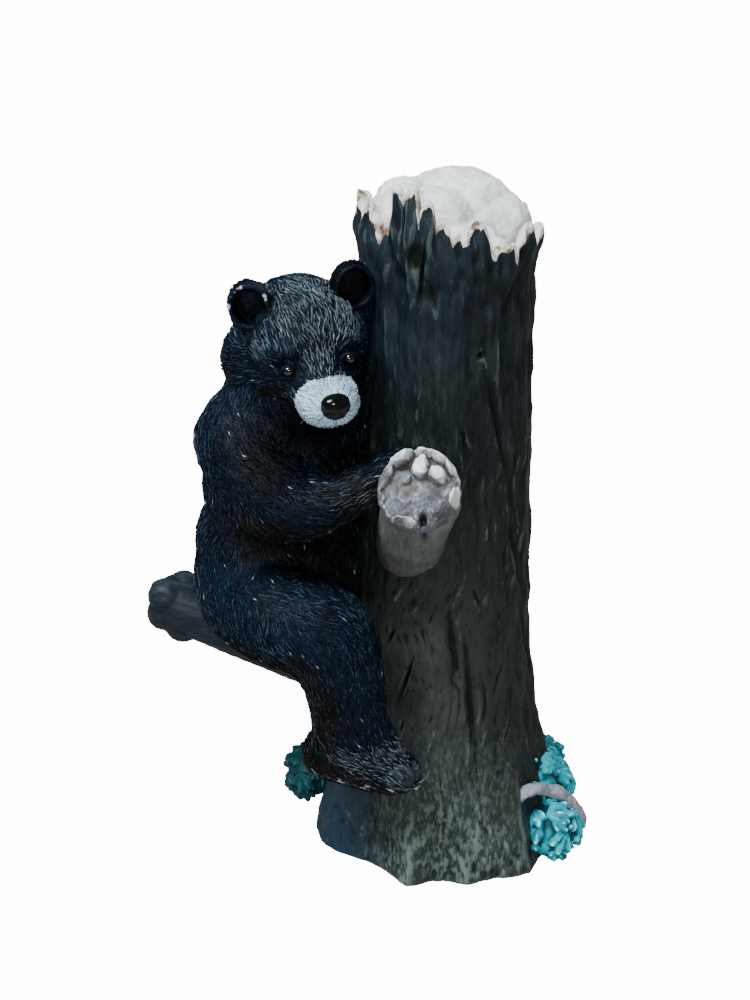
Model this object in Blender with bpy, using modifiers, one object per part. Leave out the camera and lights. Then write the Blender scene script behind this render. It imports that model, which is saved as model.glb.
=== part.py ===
"""A bear cub hugging a snow-topped tree trunk: one painted casting, in metres, +Z up, front towards -Y."""

import math

import bmesh
import bpy
from mathutils import Matrix, Vector, noise
from mathutils.bvhtree import BVHTree

MM = 0.001

# Trunk, measured from the ground at its middle
TRUNK_HEIGHT = 133 * MM
TRUNK_RADIUS = 16.5 * MM
TRUNK_SWELL = 6.0 * MM
SWELL_FALL = 30 * MM
TRUNK_LEAN = -2 * MM
ROOT_SPREAD = 7 * MM
ROOT_HEIGHT = 24 * MM
RIM_SLANT = 2.5 * MM
RIM_FLARE = 1.1 * MM
SPLINTER_HEIGHT = 9 * MM
BARK_RELIEF = 0.6 * MM
CRACK_DEPTH = 1.3 * MM
CRACK_LENGTH = 15 * MM
CRACKS = 30
FLUTE_DEPTH = 1.8 * MM
FLUTE_LENGTH = 13 * MM
COLLAR = 3.2 * MM
COLLAR_HEIGHT = 76 * MM
COLLAR_SPAN = 22 * MM
RIM_DEPTH = 5 * MM
HOLLOW_DEPTH = 6 * MM
SNOW_RISE = 10.5 * MM
BELOW_GROUND = 3 * MM

# Perch: the branch that the cub sits on, going left past the bark
PERCH_HEIGHT = 35 * MM
PERCH_RADIUS = 6.5 * MM
PERCH_LENGTH = 47 * MM
PERCH_RISE = 16.3 * MM
PERCH_BACK = 4.5 * MM

# Stub: the broken branch that leans out of the front
STUB_HEIGHT = 73 * MM
STUB_RADIUS = 7.3 * MM
STUB_REACH = 18.5 * MM
STUB_RISE = 23.5 * MM
STUB_SIDE = -8.3 * MM
STUB_KNOBS = 11

# Pine clumps and the twig that lies over the right one
LOBE_LENGTH = 6.0 * MM
LOBE_WIDTH = 4.4 * MM
TWIG_RADIUS = 1.2 * MM

# Cub: it sits on the perch, and its carving is given in shares of its height
CUB_HEIGHT = 80 * MM
CUB_SHARES = 80
CUB_UNIT = CUB_HEIGHT / CUB_SHARES
SEAT_FROM_TRUNK = 23.5 * MM
SEAT_OVER_PERCH = 10 * MM
SEAT_FRONT = 2 * MM

# Head: how it turns from facing the front, in degrees
HEAD_YAW = 19.5
HEAD_PITCH = -9.8
HEAD_ROLL = 5.5

# Skin of the casting
COARSE = 1.0 * MM
FINE = 0.6 * MM
TRIANGLES = 9700
TRUNK_COLUMNS = 150
TRUNK_ROWS = 90
BALL_STEPS = 3
BODY_ROUNDS = 22
SKULL_ROUNDS = 8
MUZZLE_ROUNDS = 6

# Angle round the trunk in degrees from +X, half width in degrees, and share of ROOT_SPREAD
ROOTS = (
    (184, 14, 0.75), (205, 17, 0.75), (249, 12, 0.48), (281, 11, 0.2), (308, 15, 0.5),
    (345, 18, 0.75), (25, 16, 0.8), (68, 14, 0.6), (105, 16, 0.85), (145, 14, 0.6),
)
# Angle, distance past the bark, height and size of each clump of pine, in degrees and millimetres
PINE_CLUMPS = (
    (-25, 7.2, 4.5, 8), (0, 4, 8.5, 8), (-16.4, 1.2, 15.5, 7), (25.5, 6.8, 6, 8), (51.5, 5.2, 5, 8),
    (163, 14.8, 5.5, 7), (151.6, 11.9, 6, 6.5), (163, 11.2, 9, 5.5),
)
# Angle, distance past the bark and height along the twig, and its thickness as a share of TWIG_RADIUS
TWIG_LINE = (
    (-49, 4.5, 16, 0.9), (-36, 5.5, 16, 1.1), (-21, 8.7, 12.5, 1.1), (-15.7, 13.1, 6.5, 1.0),
    (-13.3, 13.8, 2.5, 0.8),
)
# Angle, half width, and share of SPLINTER_HEIGHT over the torn rim
SPLINTERS = (
    (172, 8, 0.1), (188, 9, 0.32), (203, 6, 0.2), (229, 6, 0.7), (241, 8, 1.0), (254, 6, 0.75), (269, 7, 0.3),
    (286, 8, 0.55), (305, 7, 0.25), (322, 8, 0.5), (345, 8, 0.3), (2, 6, 0.25), (24, 8, 0.5),
    (45, 8, 0.65), (66, 8, 0.45), (84, 8, 0.6), (103, 8, 0.4), (122, 8, 0.5), (140, 7, 0.3), (156, 7, 0.2),
)


def clear_scene():
    for obj in list(bpy.data.objects):
        bpy.data.objects.remove(obj)


def paint(name, colour, roughness):
    material = bpy.data.materials.new(name)
    material.use_nodes = True
    shader = material.node_tree.nodes["Principled BSDF"]
    shader.inputs["Base Color"].default_value = (*colour, 1)
    shader.inputs["Roughness"].default_value = roughness
    return material


def hash_share(seed):
    """A share from 0 to 1 that looks random and is always the same for a seed."""
    return noise.cell(Vector((seed * 7.31, seed * 3.17 + 0.5, seed * 1.93)))


def bump(value, middle, width):
    return math.exp(-(((value - middle) / width) ** 2))


def turn_between(first, second):
    """The signed difference of two angles in degrees, from -180 to 180."""
    return (first - second + 180) % 360 - 180


def ball(clay, centre, radii, turn=None):
    """An ellipsoid of clay. radii is one radius or three, along the axes of turn."""
    if not hasattr(radii, "__len__"):
        radii = (radii,) * 3
    place = Matrix.Translation(centre) @ (turn or Matrix()).to_4x4()
    shape = place @ Matrix.Diagonal((*radii, 1))
    bmesh.ops.create_icosphere(clay, subdivisions=BALL_STEPS, radius=1, matrix=shape)


def along(stations, share):
    """The point and the radius at a share of a smooth line through stations of (point, radius)."""
    last = len(stations) - 1
    at = min(int(share * last), last - 1)
    t = share * last - at
    picked = [stations[max(0, min(last, at + k))] for k in (-1, 0, 1, 2)]
    weights = (
        -0.5 * t + t * t - 0.5 * t**3,
        1 - 2.5 * t * t + 1.5 * t**3,
        0.5 * t + 2 * t * t - 1.5 * t**3,
        -0.5 * t * t + 0.5 * t**3,
    )
    point = sum((Vector(s[0]) * w for s, w in zip(picked, weights)), Vector())
    radius = sum(s[1] * w for s, w in zip(picked, weights))
    return point, radius


def roll(clay, stations, steps=16):
    """A roll of clay through stations of (point, radius), with round ends."""
    for k in range(steps + 1):
        ball(clay, *along(stations, k / steps))


def fuse(shape, voxel, rounds):
    """The clay that shape adds, as one skin: its lumps joined, and the joins softened over so many rounds."""
    clay = bmesh.new()
    shape(clay)
    mesh = bpy.data.meshes.new("clay")
    clay.to_mesh(mesh)
    clay.free()
    lump = bpy.data.objects.new("clay", mesh)
    bpy.context.scene.collection.objects.link(lump)
    join = lump.modifiers.new("Join", "REMESH")
    join.mode = "VOXEL"
    join.voxel_size = voxel
    soften = lump.modifiers.new("Soften", "SMOOTH")
    soften.factor = 0.5
    soften.iterations = rounds
    graph = bpy.context.evaluated_depsgraph_get()
    skin = bpy.data.meshes.new_from_object(lump.evaluated_get(graph))
    bpy.data.objects.remove(lump)
    bpy.data.meshes.remove(mesh)
    return skin


def add_skin(clay, skin):
    clay.from_mesh(skin)
    bpy.data.meshes.remove(skin)


def splinter_share(degrees):
    """How much of a splinter stands at an angle round the rim, as its height's share and its roundness."""
    rise = 0.0
    middle = 0.0
    for at, width, share in SPLINTERS:
        round_off = max(0, 1 - (abs(turn_between(degrees, at)) / width) ** 4)
        rise = max(rise, share * round_off)
        middle = max(middle, round_off)
    return rise, middle


def torn_rim(angle):
    """The height of the broken bark at an angle round the trunk."""
    rise, _ = splinter_share(math.degrees(angle))
    return TRUNK_HEIGHT - RIM_SLANT * math.cos(angle) + SPLINTER_HEIGHT * rise


def crack_depth(degrees, height):
    """How deep the bark's long cracks are at a place on the trunk."""
    deepest = 0.0
    for k in range(CRACKS):
        at = k * 137.5 + 9
        middle = TRUNK_HEIGHT * (0.08 + 0.92 * hash_share(k + 1))
        length = CRACK_LENGTH * (0.5 + hash_share(k + 40))
        drift = 8 * (height - middle) / CRACK_LENGTH * (hash_share(k + 80) - 0.5)
        across = bump(turn_between(degrees, at + drift), 0, 3.4)
        deepest = max(deepest, across * bump(height, middle, 0.6 * length))
    return CRACK_DEPTH * deepest


def trunk_radius(angle, height):
    """The trunk's radius at an angle round it, over its roots and its bark."""
    degrees = math.degrees(angle)
    swell = TRUNK_SWELL * math.exp(-height / SWELL_FALL)
    roots = sum(share * bump(turn_between(degrees, at), 0, width) for at, width, share in ROOTS)
    roots *= ROOT_SPREAD * bump(height, 0, ROOT_HEIGHT)
    where = Vector((math.cos(angle) * 2.6, math.sin(angle) * 2.6, height / (30 * MM)))
    ridge = 1 - 2.4 * abs(noise.noise(where))
    lump = noise.noise(where * 0.5 + Vector((7, 3, 1)))
    bark = BARK_RELIEF * (ridge - 0.6 + lump) - crack_depth(degrees, height)
    collar = COLLAR * bump(turn_between(degrees, 205), 0, 42) * bump(height, COLLAR_HEIGHT, COLLAR_SPAN)
    flare = RIM_FLARE * bump(height, TRUNK_HEIGHT, RIM_DEPTH)
    below_rim = max(0, TRUNK_HEIGHT - height) / FLUTE_LENGTH
    flute = FLUTE_DEPTH * (1 - splinter_share(degrees)[1]) * math.exp(-(below_rim**2))
    return TRUNK_RADIUS + swell + roots + collar + flare + bark - flute


def loft(clay, rings):
    """A closed skin over rings of as many points each, with a point in the middle of either end."""
    made = [[clay.verts.new(p) for p in ring] for ring in rings]
    count = len(made[0])
    for low, high in zip(made, made[1:]):
        for k in range(count):
            n = (k + 1) % count
            clay.faces.new((low[k], low[n], high[n], high[k]))
    for ring, step in ((made[0], -1), (made[-1], 1)):
        middle = clay.verts.new(sum((v.co for v in ring), Vector()) / count)
        for k in range(count):
            pair = (ring[k], ring[(k + 1) % count])
            clay.faces.new((*pair[::step], middle))


def trunk(clay):
    """The trunk from its roots to the torn rim, hollow for a little way down."""
    rings = []
    angles = [math.tau * k / TRUNK_COLUMNS for k in range(TRUNK_COLUMNS)]
    for row in range(TRUNK_ROWS + 1):
        ring = []
        for angle in angles:
            height = (torn_rim(angle) + BELOW_GROUND) * row / TRUNK_ROWS - BELOW_GROUND
            radius = trunk_radius(angle, height)
            x = radius * math.cos(angle) + TRUNK_LEAN * height / TRUNK_HEIGHT
            ring.append(Vector((x, radius * math.sin(angle), height)))
        rings.append(ring)
    floor = Vector((TRUNK_LEAN, 0, TRUNK_HEIGHT - HOLLOW_DEPTH))
    lip = [Vector((floor.x + (p.x - floor.x) * 0.86, p.y * 0.86, p.z - 0.8 * MM)) for p in rings[-1]]
    hollow = [Vector((floor.x + (p.x - floor.x) * 0.8, p.y * 0.8, floor.z)) for p in rings[-1]]
    loft(clay, rings + [lip, hollow])


def snow(clay):
    """The white mound in the hollow, highest at the back, in sixteenths of the trunk's radius."""
    unit = TRUNK_RADIUS / 16.5
    for right, back, down, wide, deep, tall in (
        (1.5, 6, 8, 11, 9, 8), (-5.8, 5, 9.5, 8, 8.5, 7.2), (7, 5, 11, 9, 9, 7),
        (-2, -2, 12, 12, 11, 5), (3, -6, 13.5, 8, 7, 4),
    ):
        place = Vector((TRUNK_LEAN + right * unit, back * unit, TRUNK_HEIGHT + SNOW_RISE - down * unit))
        ball(clay, place, (wide * unit, deep * unit, tall * unit))


def perch(clay):
    end = Vector((-TRUNK_RADIUS - PERCH_LENGTH + PERCH_RADIUS, PERCH_BACK, PERCH_HEIGHT + PERCH_RISE))
    start = Vector((0, 0, PERCH_HEIGHT - PERCH_RADIUS * 0.6))
    middle = start.lerp(end, 0.55) - Vector((0, 0, PERCH_RADIUS * 0.25))
    roll(clay, [(start, PERCH_RADIUS * 1.5), (middle, PERCH_RADIUS), (end, PERCH_RADIUS * 0.95)], 24)
    for right, back, up, size in (
        (-2.5, -2, 2.8, 0.6), (-3, -1.5, -1.4, 0.6), (0.5, -1.5, -4.6, 0.55),
        (-2, 3, 0.5, 0.6), (1, 1, 3.6, 0.5),
    ):
        ball(clay, end + Vector((right, back, up)) * PERCH_RADIUS / 6.5, PERCH_RADIUS * size)


def stub_line():
    start = Vector((STUB_SIDE * 0.6, -TRUNK_RADIUS * 0.6, STUB_HEIGHT))
    end = Vector((STUB_SIDE, -TRUNK_RADIUS - STUB_REACH, STUB_HEIGHT + STUB_RISE))
    return start, end


def stub(clay):
    start, end = stub_line()
    out = (end - start).normalized()
    middle = start.lerp(end, 0.45) - Vector((0, 0, STUB_RADIUS * 0.14))
    inside = end - out * STUB_RADIUS
    roll(clay, [(start, STUB_RADIUS * 1.2), (middle, STUB_RADIUS), (inside, STUB_RADIUS)], 20)


def stub_end(clay):
    """Knobs of torn wood round the end of the stub."""
    start, end = stub_line()
    out = (end - start).normalized()
    side = out.cross(Vector((0, 0, 1))).normalized()
    over = side.cross(out)
    for k in range(STUB_KNOBS):
        angle = math.tau * k / STUB_KNOBS
        reach = STUB_RADIUS * (0.72 + 0.12 * hash_share(k + 5))
        place = end + (side * math.cos(angle) + over * math.sin(angle)) * reach
        size = STUB_RADIUS * (0.26 + 0.1 * hash_share(k + 9))
        ball(clay, place - out * STUB_RADIUS * (0.25 + 0.3 * hash_share(k + 3)), size)
    ball(clay, end - out * STUB_RADIUS * 0.45, STUB_RADIUS * 0.62)


def cub(right, back, up):
    """A point of the cub, in shares of its height from its seat."""
    seat = Vector((-TRUNK_RADIUS - SEAT_FROM_TRUNK, -SEAT_FRONT, PERCH_HEIGHT + SEAT_OVER_PERCH))
    return seat + Vector((right, back, up)) * CUB_UNIT


def cub_roll(clay, *stations):
    roll(clay, [(cub(*s[:3]), s[3] * CUB_UNIT) for s in stations])


def cub_ball(clay, right, back, up, *radii):
    sizes = [r * CUB_UNIT for r in radii]
    ball(clay, cub(right, back, up), sizes if len(sizes) == 3 else sizes[0])


def torso(clay):
    cub_ball(clay, 0, 0, 16.5, 13, 14, 13.5)
    cub_ball(clay, 1.5, -1, 25, 13.5, 14, 14)
    cub_ball(clay, 3, -2, 38, 13, 13, 14)
    cub_ball(clay, 12, -2, 36, 12, 12, 19)
    cub_ball(clay, 10, -2, 20, 13, 12.5, 14)
    cub_ball(clay, 12, -4, 51, 11.5, 10.5, 13)
    cub_ball(clay, 17, -3, 64, 8, 8, 10)
    cub_ball(clay, 21, -1, 74, 5.5, 6, 8)
    cub_ball(clay, 2.5, -2, 49, 12.5, 16.5, 10)
    cub_ball(clay, 9, -10, 46, 9.5, 8.5, 9)
    cub_roll(clay, (4, -3, 49, 12), (8.5, -7, 60, 11.8))


def limbs(clay, side, knee, shoulder, over):
    """The arm and the leg on one side: side is -1 for the front of the casting and 1 for its back."""
    cub_roll(
        clay,
        (over, shoulder * side, 51, 9),
        (over + 3.5, (shoulder + 6.5) * side, 45.5, 8.6),
        (over + 9, (shoulder + 9.5) * side, 41, 7.5),
        (17, (shoulder + 9.5) * side, 41.5, 6.1),
        (26, (shoulder + 7.5) * side, 46, 5.2),
        (32, (shoulder + 6) * side, 47.3, 4.4),
    )
    cub_roll(
        clay,
        (-0.5, 8 * side, 15.5, 10.4),
        (7, (knee - 4) * side, 16.3, 9.9),
        (15, (knee - 0.5) * side, 15.2, 9.1),
        (18.5, knee * side, 3.5, 8.0),
        (19, (knee - 1) * side, -7, 7.2),
    )
    heel = (15, (knee - 2) * side, -12.5, 5.6)
    ball_of_foot = (28, (knee + 1) * side, -15, 5.0)
    cub_roll(clay, heel, (22, knee * side, -13.5, 5.8), ball_of_foot)
    cub_roll(clay, (20, knee * side, -5, 6.4), (25, (knee + 1) * side, -11, 5.4), ball_of_foot)


def body(clay):
    torso(clay)
    limbs(clay, -1, 23, 12, -1)
    limbs(clay, 1, 21, 8, 3)


def paws(clay):
    """The toes and the claws, which stay crisp."""
    for side, knee, shoulder in ((-1, 23, 12), (1, 21, 8)):
        for toe in range(4):
            spread = toe - 1.5
            across = (knee + 1.0 + 3.1 * spread) * side
            cub_ball(clay, 31.4 - abs(spread), across, 0.6 * spread - 15.0, 3.4, 1.8, 3.0)
            cub_ball(clay, 34.2 - abs(spread), across, 0.6 * spread - 16.4, 1.5, 0.8, 1.1)
            finger = (shoulder + 6 + 0.8 * spread) * side
            cub_ball(clay, 35.0 - abs(spread), finger, 46.8 + 2.3 * spread, 3.0, 1.8, 1.5)


def head_matrix():
    """Turns head directions (to its right, forward, up) into the casting's own."""
    turn = Matrix.Rotation(math.radians(HEAD_YAW), 4, "Z")
    turn @= Matrix.Rotation(math.radians(180), 4, "Z")
    turn @= Matrix.Rotation(math.radians(HEAD_PITCH), 4, "X")
    turn @= Matrix.Rotation(math.radians(HEAD_ROLL), 4, "Y")
    return Matrix.Translation(cub(10.4, -8, 69.3)) @ turn @ Matrix.Scale(CUB_UNIT, 4)


def head_ball(clay, right, forward, up, *radii, turn=None):
    shape = head_matrix() @ Matrix.Translation((right, forward, up)) @ (turn or Matrix())
    sizes = radii if len(radii) == 3 else radii * 3
    bmesh.ops.create_icosphere(
        clay, subdivisions=BALL_STEPS, radius=1, matrix=shape @ Matrix.Diagonal((*sizes, 1))
    )


def skull(clay):
    head_ball(clay, 0, -1, 0.5, 12.1, 12, 11.3)
    head_ball(clay, 0, 3, 2.5, 11, 9.5, 9.4)
    head_ball(clay, 0, 2, -4.5, 11, 9.5, 7)
    head_ball(clay, 3.4, -2, -3.5, 11.5, 10, 9.5)
    head_ball(clay, -4.0, 3.0, 0.8, 7.9, 7.2, 6.8)
    head_ball(clay, 0, 9, 0.5, 5.0, 5.4, 5.0)
    for side in (-1, 1):
        head_ball(clay, 5.8 * side, 3, -4.5, 5.7, 7, 6.0)
        head_ball(clay, 4.3 * side, 8.8, -2.2, 3.8, 4.6, 3.8)
        head_ball(clay, 5.0 * side, 8.0, 4.0, 4.4, 4.0, 3.2)


def muzzle(clay):
    for k in range(7):
        t = k / 6
        head_ball(clay, 0, 8 + 9 * t, -2.6 - 1.4 * t, 6.8 - 1.1 * t, 5, 5.6 - 1.0 * t)
    head_ball(clay, 0, 12.5, -6.6, 5.0, 5.6, 3.6)


def face(clay):
    """The nose, the eyes and the ears, which stay crisp."""
    head_ball(clay, 0, 21.0, -2.6, 3.1, 2.0, 2.5)
    for side in (-1, 1):
        head_ball(clay, 5.7 * side, 12.0, 1.2, 1.3)
        out = Matrix.Rotation(math.radians(-9 - 11 * side), 4, "Z") @ Matrix.Rotation(math.radians(8), 4, "X")
        root = Vector((9.6 * side - 0.5, 1.0, 10.0))
        head_ball(clay, *(root - out @ Vector((0, 0.9, 0))), 3.7, 0.9, 4.1, turn=out)
        head_ball(clay, 8.2 * side, -2.6, 5.8, 3.8, 2.8, 3.6, turn=out)
        for k in range(22):
            angle = math.tau * k / 22
            for forward, size in ((0.1, 0.8), (1.2, 0.75)):
                rim = root + out @ Vector((3.2 * math.cos(angle), forward, 3.6 * math.sin(angle)))
                head_ball(clay, *rim, size)


def pine_clump(clay, centre, size, seed):
    """A round clump of pine, with rows of ruffled lobes that point out and down."""
    ball(clay, centre, size * 0.78)
    rows = 4
    for row in range(rows):
        tilt = math.radians(72 - 36 * row)
        count = max(4, round(8 * math.cos(tilt)))
        for k in range(count):
            angle = math.tau * (k + 0.5 * (row % 2) + 0.3 * hash_share(seed + 10 * row + k)) / count
            out = Vector((math.cos(angle) * math.cos(tilt), math.sin(angle) * math.cos(tilt), math.sin(tilt)))
            lie = (out + Vector((0, 0, -0.35))).to_track_quat("X", "Z").to_matrix()
            place = centre + out * size * 0.6
            thick = LOBE_WIDTH * (0.28 + 0.12 * hash_share(seed + k))
            ball(clay, place, (LOBE_LENGTH * 0.5, LOBE_WIDTH * 0.5, thick), lie)


def round_trunk(degrees, past, up):
    """A point by its angle round the trunk, its distance past the bark and its height, in millimetres."""
    angle = math.radians(degrees)
    reach = TRUNK_RADIUS + past * MM
    return Vector((reach * math.cos(angle), reach * math.sin(angle), up * MM))


def pine(clay):
    for seed, (degrees, past, up, size) in enumerate(PINE_CLUMPS):
        pine_clump(clay, round_trunk(degrees, past, up), size * MM, 100 * seed)


def twig(clay):
    roll(clay, [(round_trunk(*place), TWIG_RADIUS * size) for *place, size in TWIG_LINE], 30)


def bark(clay):
    trunk(clay)
    perch(clay)
    stub(clay)


def bear(clay):
    add_skin(clay, fuse(body, COARSE, BODY_ROUNDS))
    add_skin(clay, fuse(skull, COARSE, SKULL_ROUNDS))
    paws(clay)
    face(clay)


def white_muzzle(clay):
    add_skin(clay, fuse(muzzle, FINE, MUZZLE_ROUNDS))


# Name, clay, colour and roughness of each painted zone of the casting
ZONES = (
    ("bear_black", bear, (0.012, 0.014, 0.019), 0.42),
    ("muzzle_white", white_muzzle, (0.62, 0.62, 0.68), 0.5),
    ("bark_slate", bark, (0.055, 0.062, 0.07), 0.55),
    ("snow_white", snow, (0.72, 0.74, 0.76), 0.6),
    ("torn_wood_white", stub_end, (0.6, 0.57, 0.52), 0.6),
    ("pine_turquoise", pine, (0.005, 0.22, 0.25), 0.5),
    ("twig_grey", twig, (0.3, 0.29, 0.34), 0.6),
)


def casting_clay(clay):
    for _, shape, _, _ in ZONES:
        shape(clay)


def paint_zones(mesh):
    """Gives each face the paint of the zone whose clay is nearest to it."""
    trees = []
    for name, shape, colour, roughness in ZONES:
        clay = bmesh.new()
        shape(clay)
        trees.append(BVHTree.FromBMesh(clay))
        clay.free()
        mesh.materials.append(paint(name, colour, roughness))
    for face in mesh.polygons:
        gaps = [tree.find_nearest(face.center)[3] for tree in trees]
        face.material_index = gaps.index(min(gaps))


def cut_flat(mesh):
    """Cuts the casting off flat at the ground."""
    clay = bmesh.new()
    clay.from_mesh(mesh)
    everything = clay.verts[:] + clay.edges[:] + clay.faces[:]
    ground = {"plane_co": (0, 0, 0), "plane_no": (0, 0, 1)}
    cut = bmesh.ops.bisect_plane(clay, geom=everything, clear_inner=True, **ground)
    rim = [e for e in cut["geom_cut"] if isinstance(e, bmesh.types.BMEdge)]
    bmesh.ops.contextual_create(clay, geom=rim)
    bmesh.ops.triangulate(clay, faces=clay.faces[:])
    clay.to_mesh(mesh)
    clay.free()


def casting():
    skin = fuse(casting_clay, FINE, 2)
    whole = bpy.data.objects.new("bear_on_tree_trunk", skin)
    figurine = bpy.data.collections.new("bear_figurine")
    bpy.context.scene.collection.children.link(figurine)
    figurine.objects.link(whole)
    thin = whole.modifiers.new("Thin", "DECIMATE")
    thin.ratio = TRIANGLES / sum(len(p.vertices) - 2 for p in skin.polygons)
    graph = bpy.context.evaluated_depsgraph_get()
    thinned = bpy.data.meshes.new_from_object(whole.evaluated_get(graph))
    whole.modifiers.clear()
    whole.data = thinned
    cut_flat(thinned)
    paint_zones(thinned)
    thinned.shade_smooth()


def main():
    clear_scene()
    casting()


main()
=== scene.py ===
"""The looks of the bear cub figurine: its carved fur, torn bark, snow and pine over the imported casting."""

import math

import bmesh
import bpy
import numpy as np
from mathutils import Matrix, Vector, noise


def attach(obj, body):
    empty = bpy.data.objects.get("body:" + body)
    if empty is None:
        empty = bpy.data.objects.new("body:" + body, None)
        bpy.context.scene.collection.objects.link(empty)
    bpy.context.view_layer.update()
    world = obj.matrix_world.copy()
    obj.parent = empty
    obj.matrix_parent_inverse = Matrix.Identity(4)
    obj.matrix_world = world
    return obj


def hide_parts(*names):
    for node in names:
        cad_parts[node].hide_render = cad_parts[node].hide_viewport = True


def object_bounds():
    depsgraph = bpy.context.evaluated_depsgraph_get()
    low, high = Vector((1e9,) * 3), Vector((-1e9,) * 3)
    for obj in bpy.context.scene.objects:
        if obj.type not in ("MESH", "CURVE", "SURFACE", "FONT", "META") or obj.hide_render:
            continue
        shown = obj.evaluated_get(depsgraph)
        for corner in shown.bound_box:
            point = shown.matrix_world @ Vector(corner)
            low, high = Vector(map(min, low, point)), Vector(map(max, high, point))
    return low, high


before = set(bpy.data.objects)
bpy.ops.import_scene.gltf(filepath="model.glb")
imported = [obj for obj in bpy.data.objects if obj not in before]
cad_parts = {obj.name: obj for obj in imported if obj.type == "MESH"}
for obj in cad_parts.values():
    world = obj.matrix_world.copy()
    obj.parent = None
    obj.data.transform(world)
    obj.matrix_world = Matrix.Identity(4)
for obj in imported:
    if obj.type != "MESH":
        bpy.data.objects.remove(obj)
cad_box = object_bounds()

NODE = "bear_on_tree_trunk"
MM = 0.001

# Trunk, measured from the ground at its middle
TRUNK_HEIGHT = 133 * MM
TRUNK_RADIUS = 16.5 * MM
TRUNK_SWELL = 6.0 * MM
SWELL_FALL = 30 * MM
TRUNK_LEAN = -2 * MM
ROOT_SPREAD = 7 * MM
ROOT_HEIGHT = 24 * MM
RIM_SLANT = 2.5 * MM
RIM_FLARE = 1.1 * MM
RIM_DEPTH = 5 * MM
SPLINTER_HEIGHT = 9 * MM
HOLLOW_DEPTH = 6 * MM
SNOW_RISE = 10.5 * MM
COLLAR = 3.2 * MM
COLLAR_HEIGHT = 76 * MM
COLLAR_SPAN = 22 * MM
BARK_RELIEF = 0.6 * MM
CHIP_DEPTH = 1.1 * MM
STREAK_DEPTH = 0.36 * MM
FLUTE_DEPTH = 1.35 * MM
FLUTE_LENGTH = 8.5 * MM
CRACKS = 30
CRACK_DEPTH = 1.3 * MM
CRACK_LENGTH = 15 * MM
NICKS = 130
NICK_DEPTH = 1.0 * MM
TRUNK_COLUMNS = 296
TRUNK_ROWS = 250
FINEST_SIDE = 250

# Perch, stub and twig
PERCH_HEIGHT = 35 * MM
PERCH_RADIUS = 6.5 * MM
PERCH_LENGTH = 47 * MM
PERCH_RISE = 16.3 * MM
PERCH_BACK = 4.5 * MM
STUB_HEIGHT = 73 * MM
STUB_RADIUS = 7.3 * MM
STUB_REACH = 18.5 * MM
STUB_RISE = 23.5 * MM
STUB_SIDE = -8.3 * MM
TWIG_RADIUS = 1.35 * MM

# Lobes on a clump of pine, their length as a share of its size, and their pleats
LOBES = 36
LOBE_LENGTH = 0.64
PLEATS = 11
PLEAT_DEPTH = 0.085

# Cub, which sits on the perch
SEAT_FROM_TRUNK = 23.5 * MM
SEAT_OVER_PERCH = 10 * MM
SEAT_FRONT = 2 * MM
HEAD_YAW, HEAD_PITCH, HEAD_ROLL = 19.5, -9.8, 5.5
EYE = (5.7, 12.0, 1.2)
BURIED = -0.8 * MM

# Angle round the trunk in degrees from +X, half width in degrees, and share of ROOT_SPREAD
ROOTS = (
    (184, 14, 0.75), (205, 17, 0.75), (249, 12, 0.48), (281, 11, 0.2), (308, 15, 0.5),
    (345, 18, 0.75), (25, 16, 0.8), (68, 14, 0.6), (105, 16, 0.85), (145, 14, 0.6),
)
# Angle, distance past the bark, height and size of each clump of pine, in degrees and millimetres
PINE_CLUMPS = (
    (-25, 7.2, 4.5, 8), (0, 4, 8.5, 8), (-16.4, 1.2, 15.5, 7), (25.5, 6.8, 6, 8), (51.5, 5.2, 5, 8),
    (163, 14.8, 5.5, 7), (151.6, 11.9, 6, 6.5), (163, 11.2, 9, 5.5),
)
# Angle, distance past the bark and height along the twig, and its thickness as a share of TWIG_RADIUS
TWIG_LINE = (
    (-49, 4.5, 16, 0.9), (-36, 5.5, 16, 1.1), (-21, 8.7, 12.5, 1.1), (-15.7, 13.1, 6.5, 1.0),
    (-13.3, 13.8, 2.5, 0.8),
)
# Angle, half width, and share of SPLINTER_HEIGHT over the torn rim
SPLINTERS = (
    (172, 8, 0.1), (190, 11, 0.45), (207, 10, 0.4), (233, 8, 0.92), (243.5, 7, 1.0), (254, 7.5, 0.85),
    (264, 6, 0.55), (276, 7, 0.3), (286, 8, 0.55), (305, 7, 0.25), (322, 8, 0.5), (345, 8, 0.3), (2, 6, 0.25),
    (24, 8, 0.5), (45, 8, 0.65), (66, 8, 0.45), (84, 8, 0.6), (103, 8, 0.4), (122, 8, 0.5), (140, 7, 0.3),
    (156, 7, 0.2),
)
# Sharp dark cuts in the bark: angle, height and half length in millimetres, half width and lean of each
# in degrees and degrees a millimetre
GASHES = (
    (251, 128.3, 5.2, 1.3, 0.44), (246.3, 131.5, 2.0, 3.4, 0.6), (229.6, 53.4, 1.6, 1.1, 1.4),
    (240, 44.2, 3.4, 1.0, 0.93), (238.5, 136.0, 4.6, 0.9, 0.2),
)
# Rings down the hollow: share of the rim's reach, drop in millimetres, and how much each wavers
HOLLOW_RINGS = ((0.95, 0.15, 0.3), (0.9, 0.9, 0.5), (0.86, 2.2, 0.6), (0.83, 4.5, 0.5), (0.8, 7.5, 0.2))
# Lumps of snow, in sixteenths of the trunk's radius: right, back, depth below the top, and three radii
SNOW = (
    (1.5, 6, 8.4, 11, 9, 8), (-5.8, 5, 9.5, 8, 8.5, 7.2), (7, 5, 11, 9, 9, 7), (-8.6, -5, 6.9, 4.6, 5, 5.6),
    (-8.6, 1.0, 7.3, 5.2, 6, 6.2), (-2, -2, 12, 12, 11, 5), (3, -6, 13.5, 8, 7, 4), (-3, -3, 8.2, 7, 6.5, 6),
)
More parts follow.
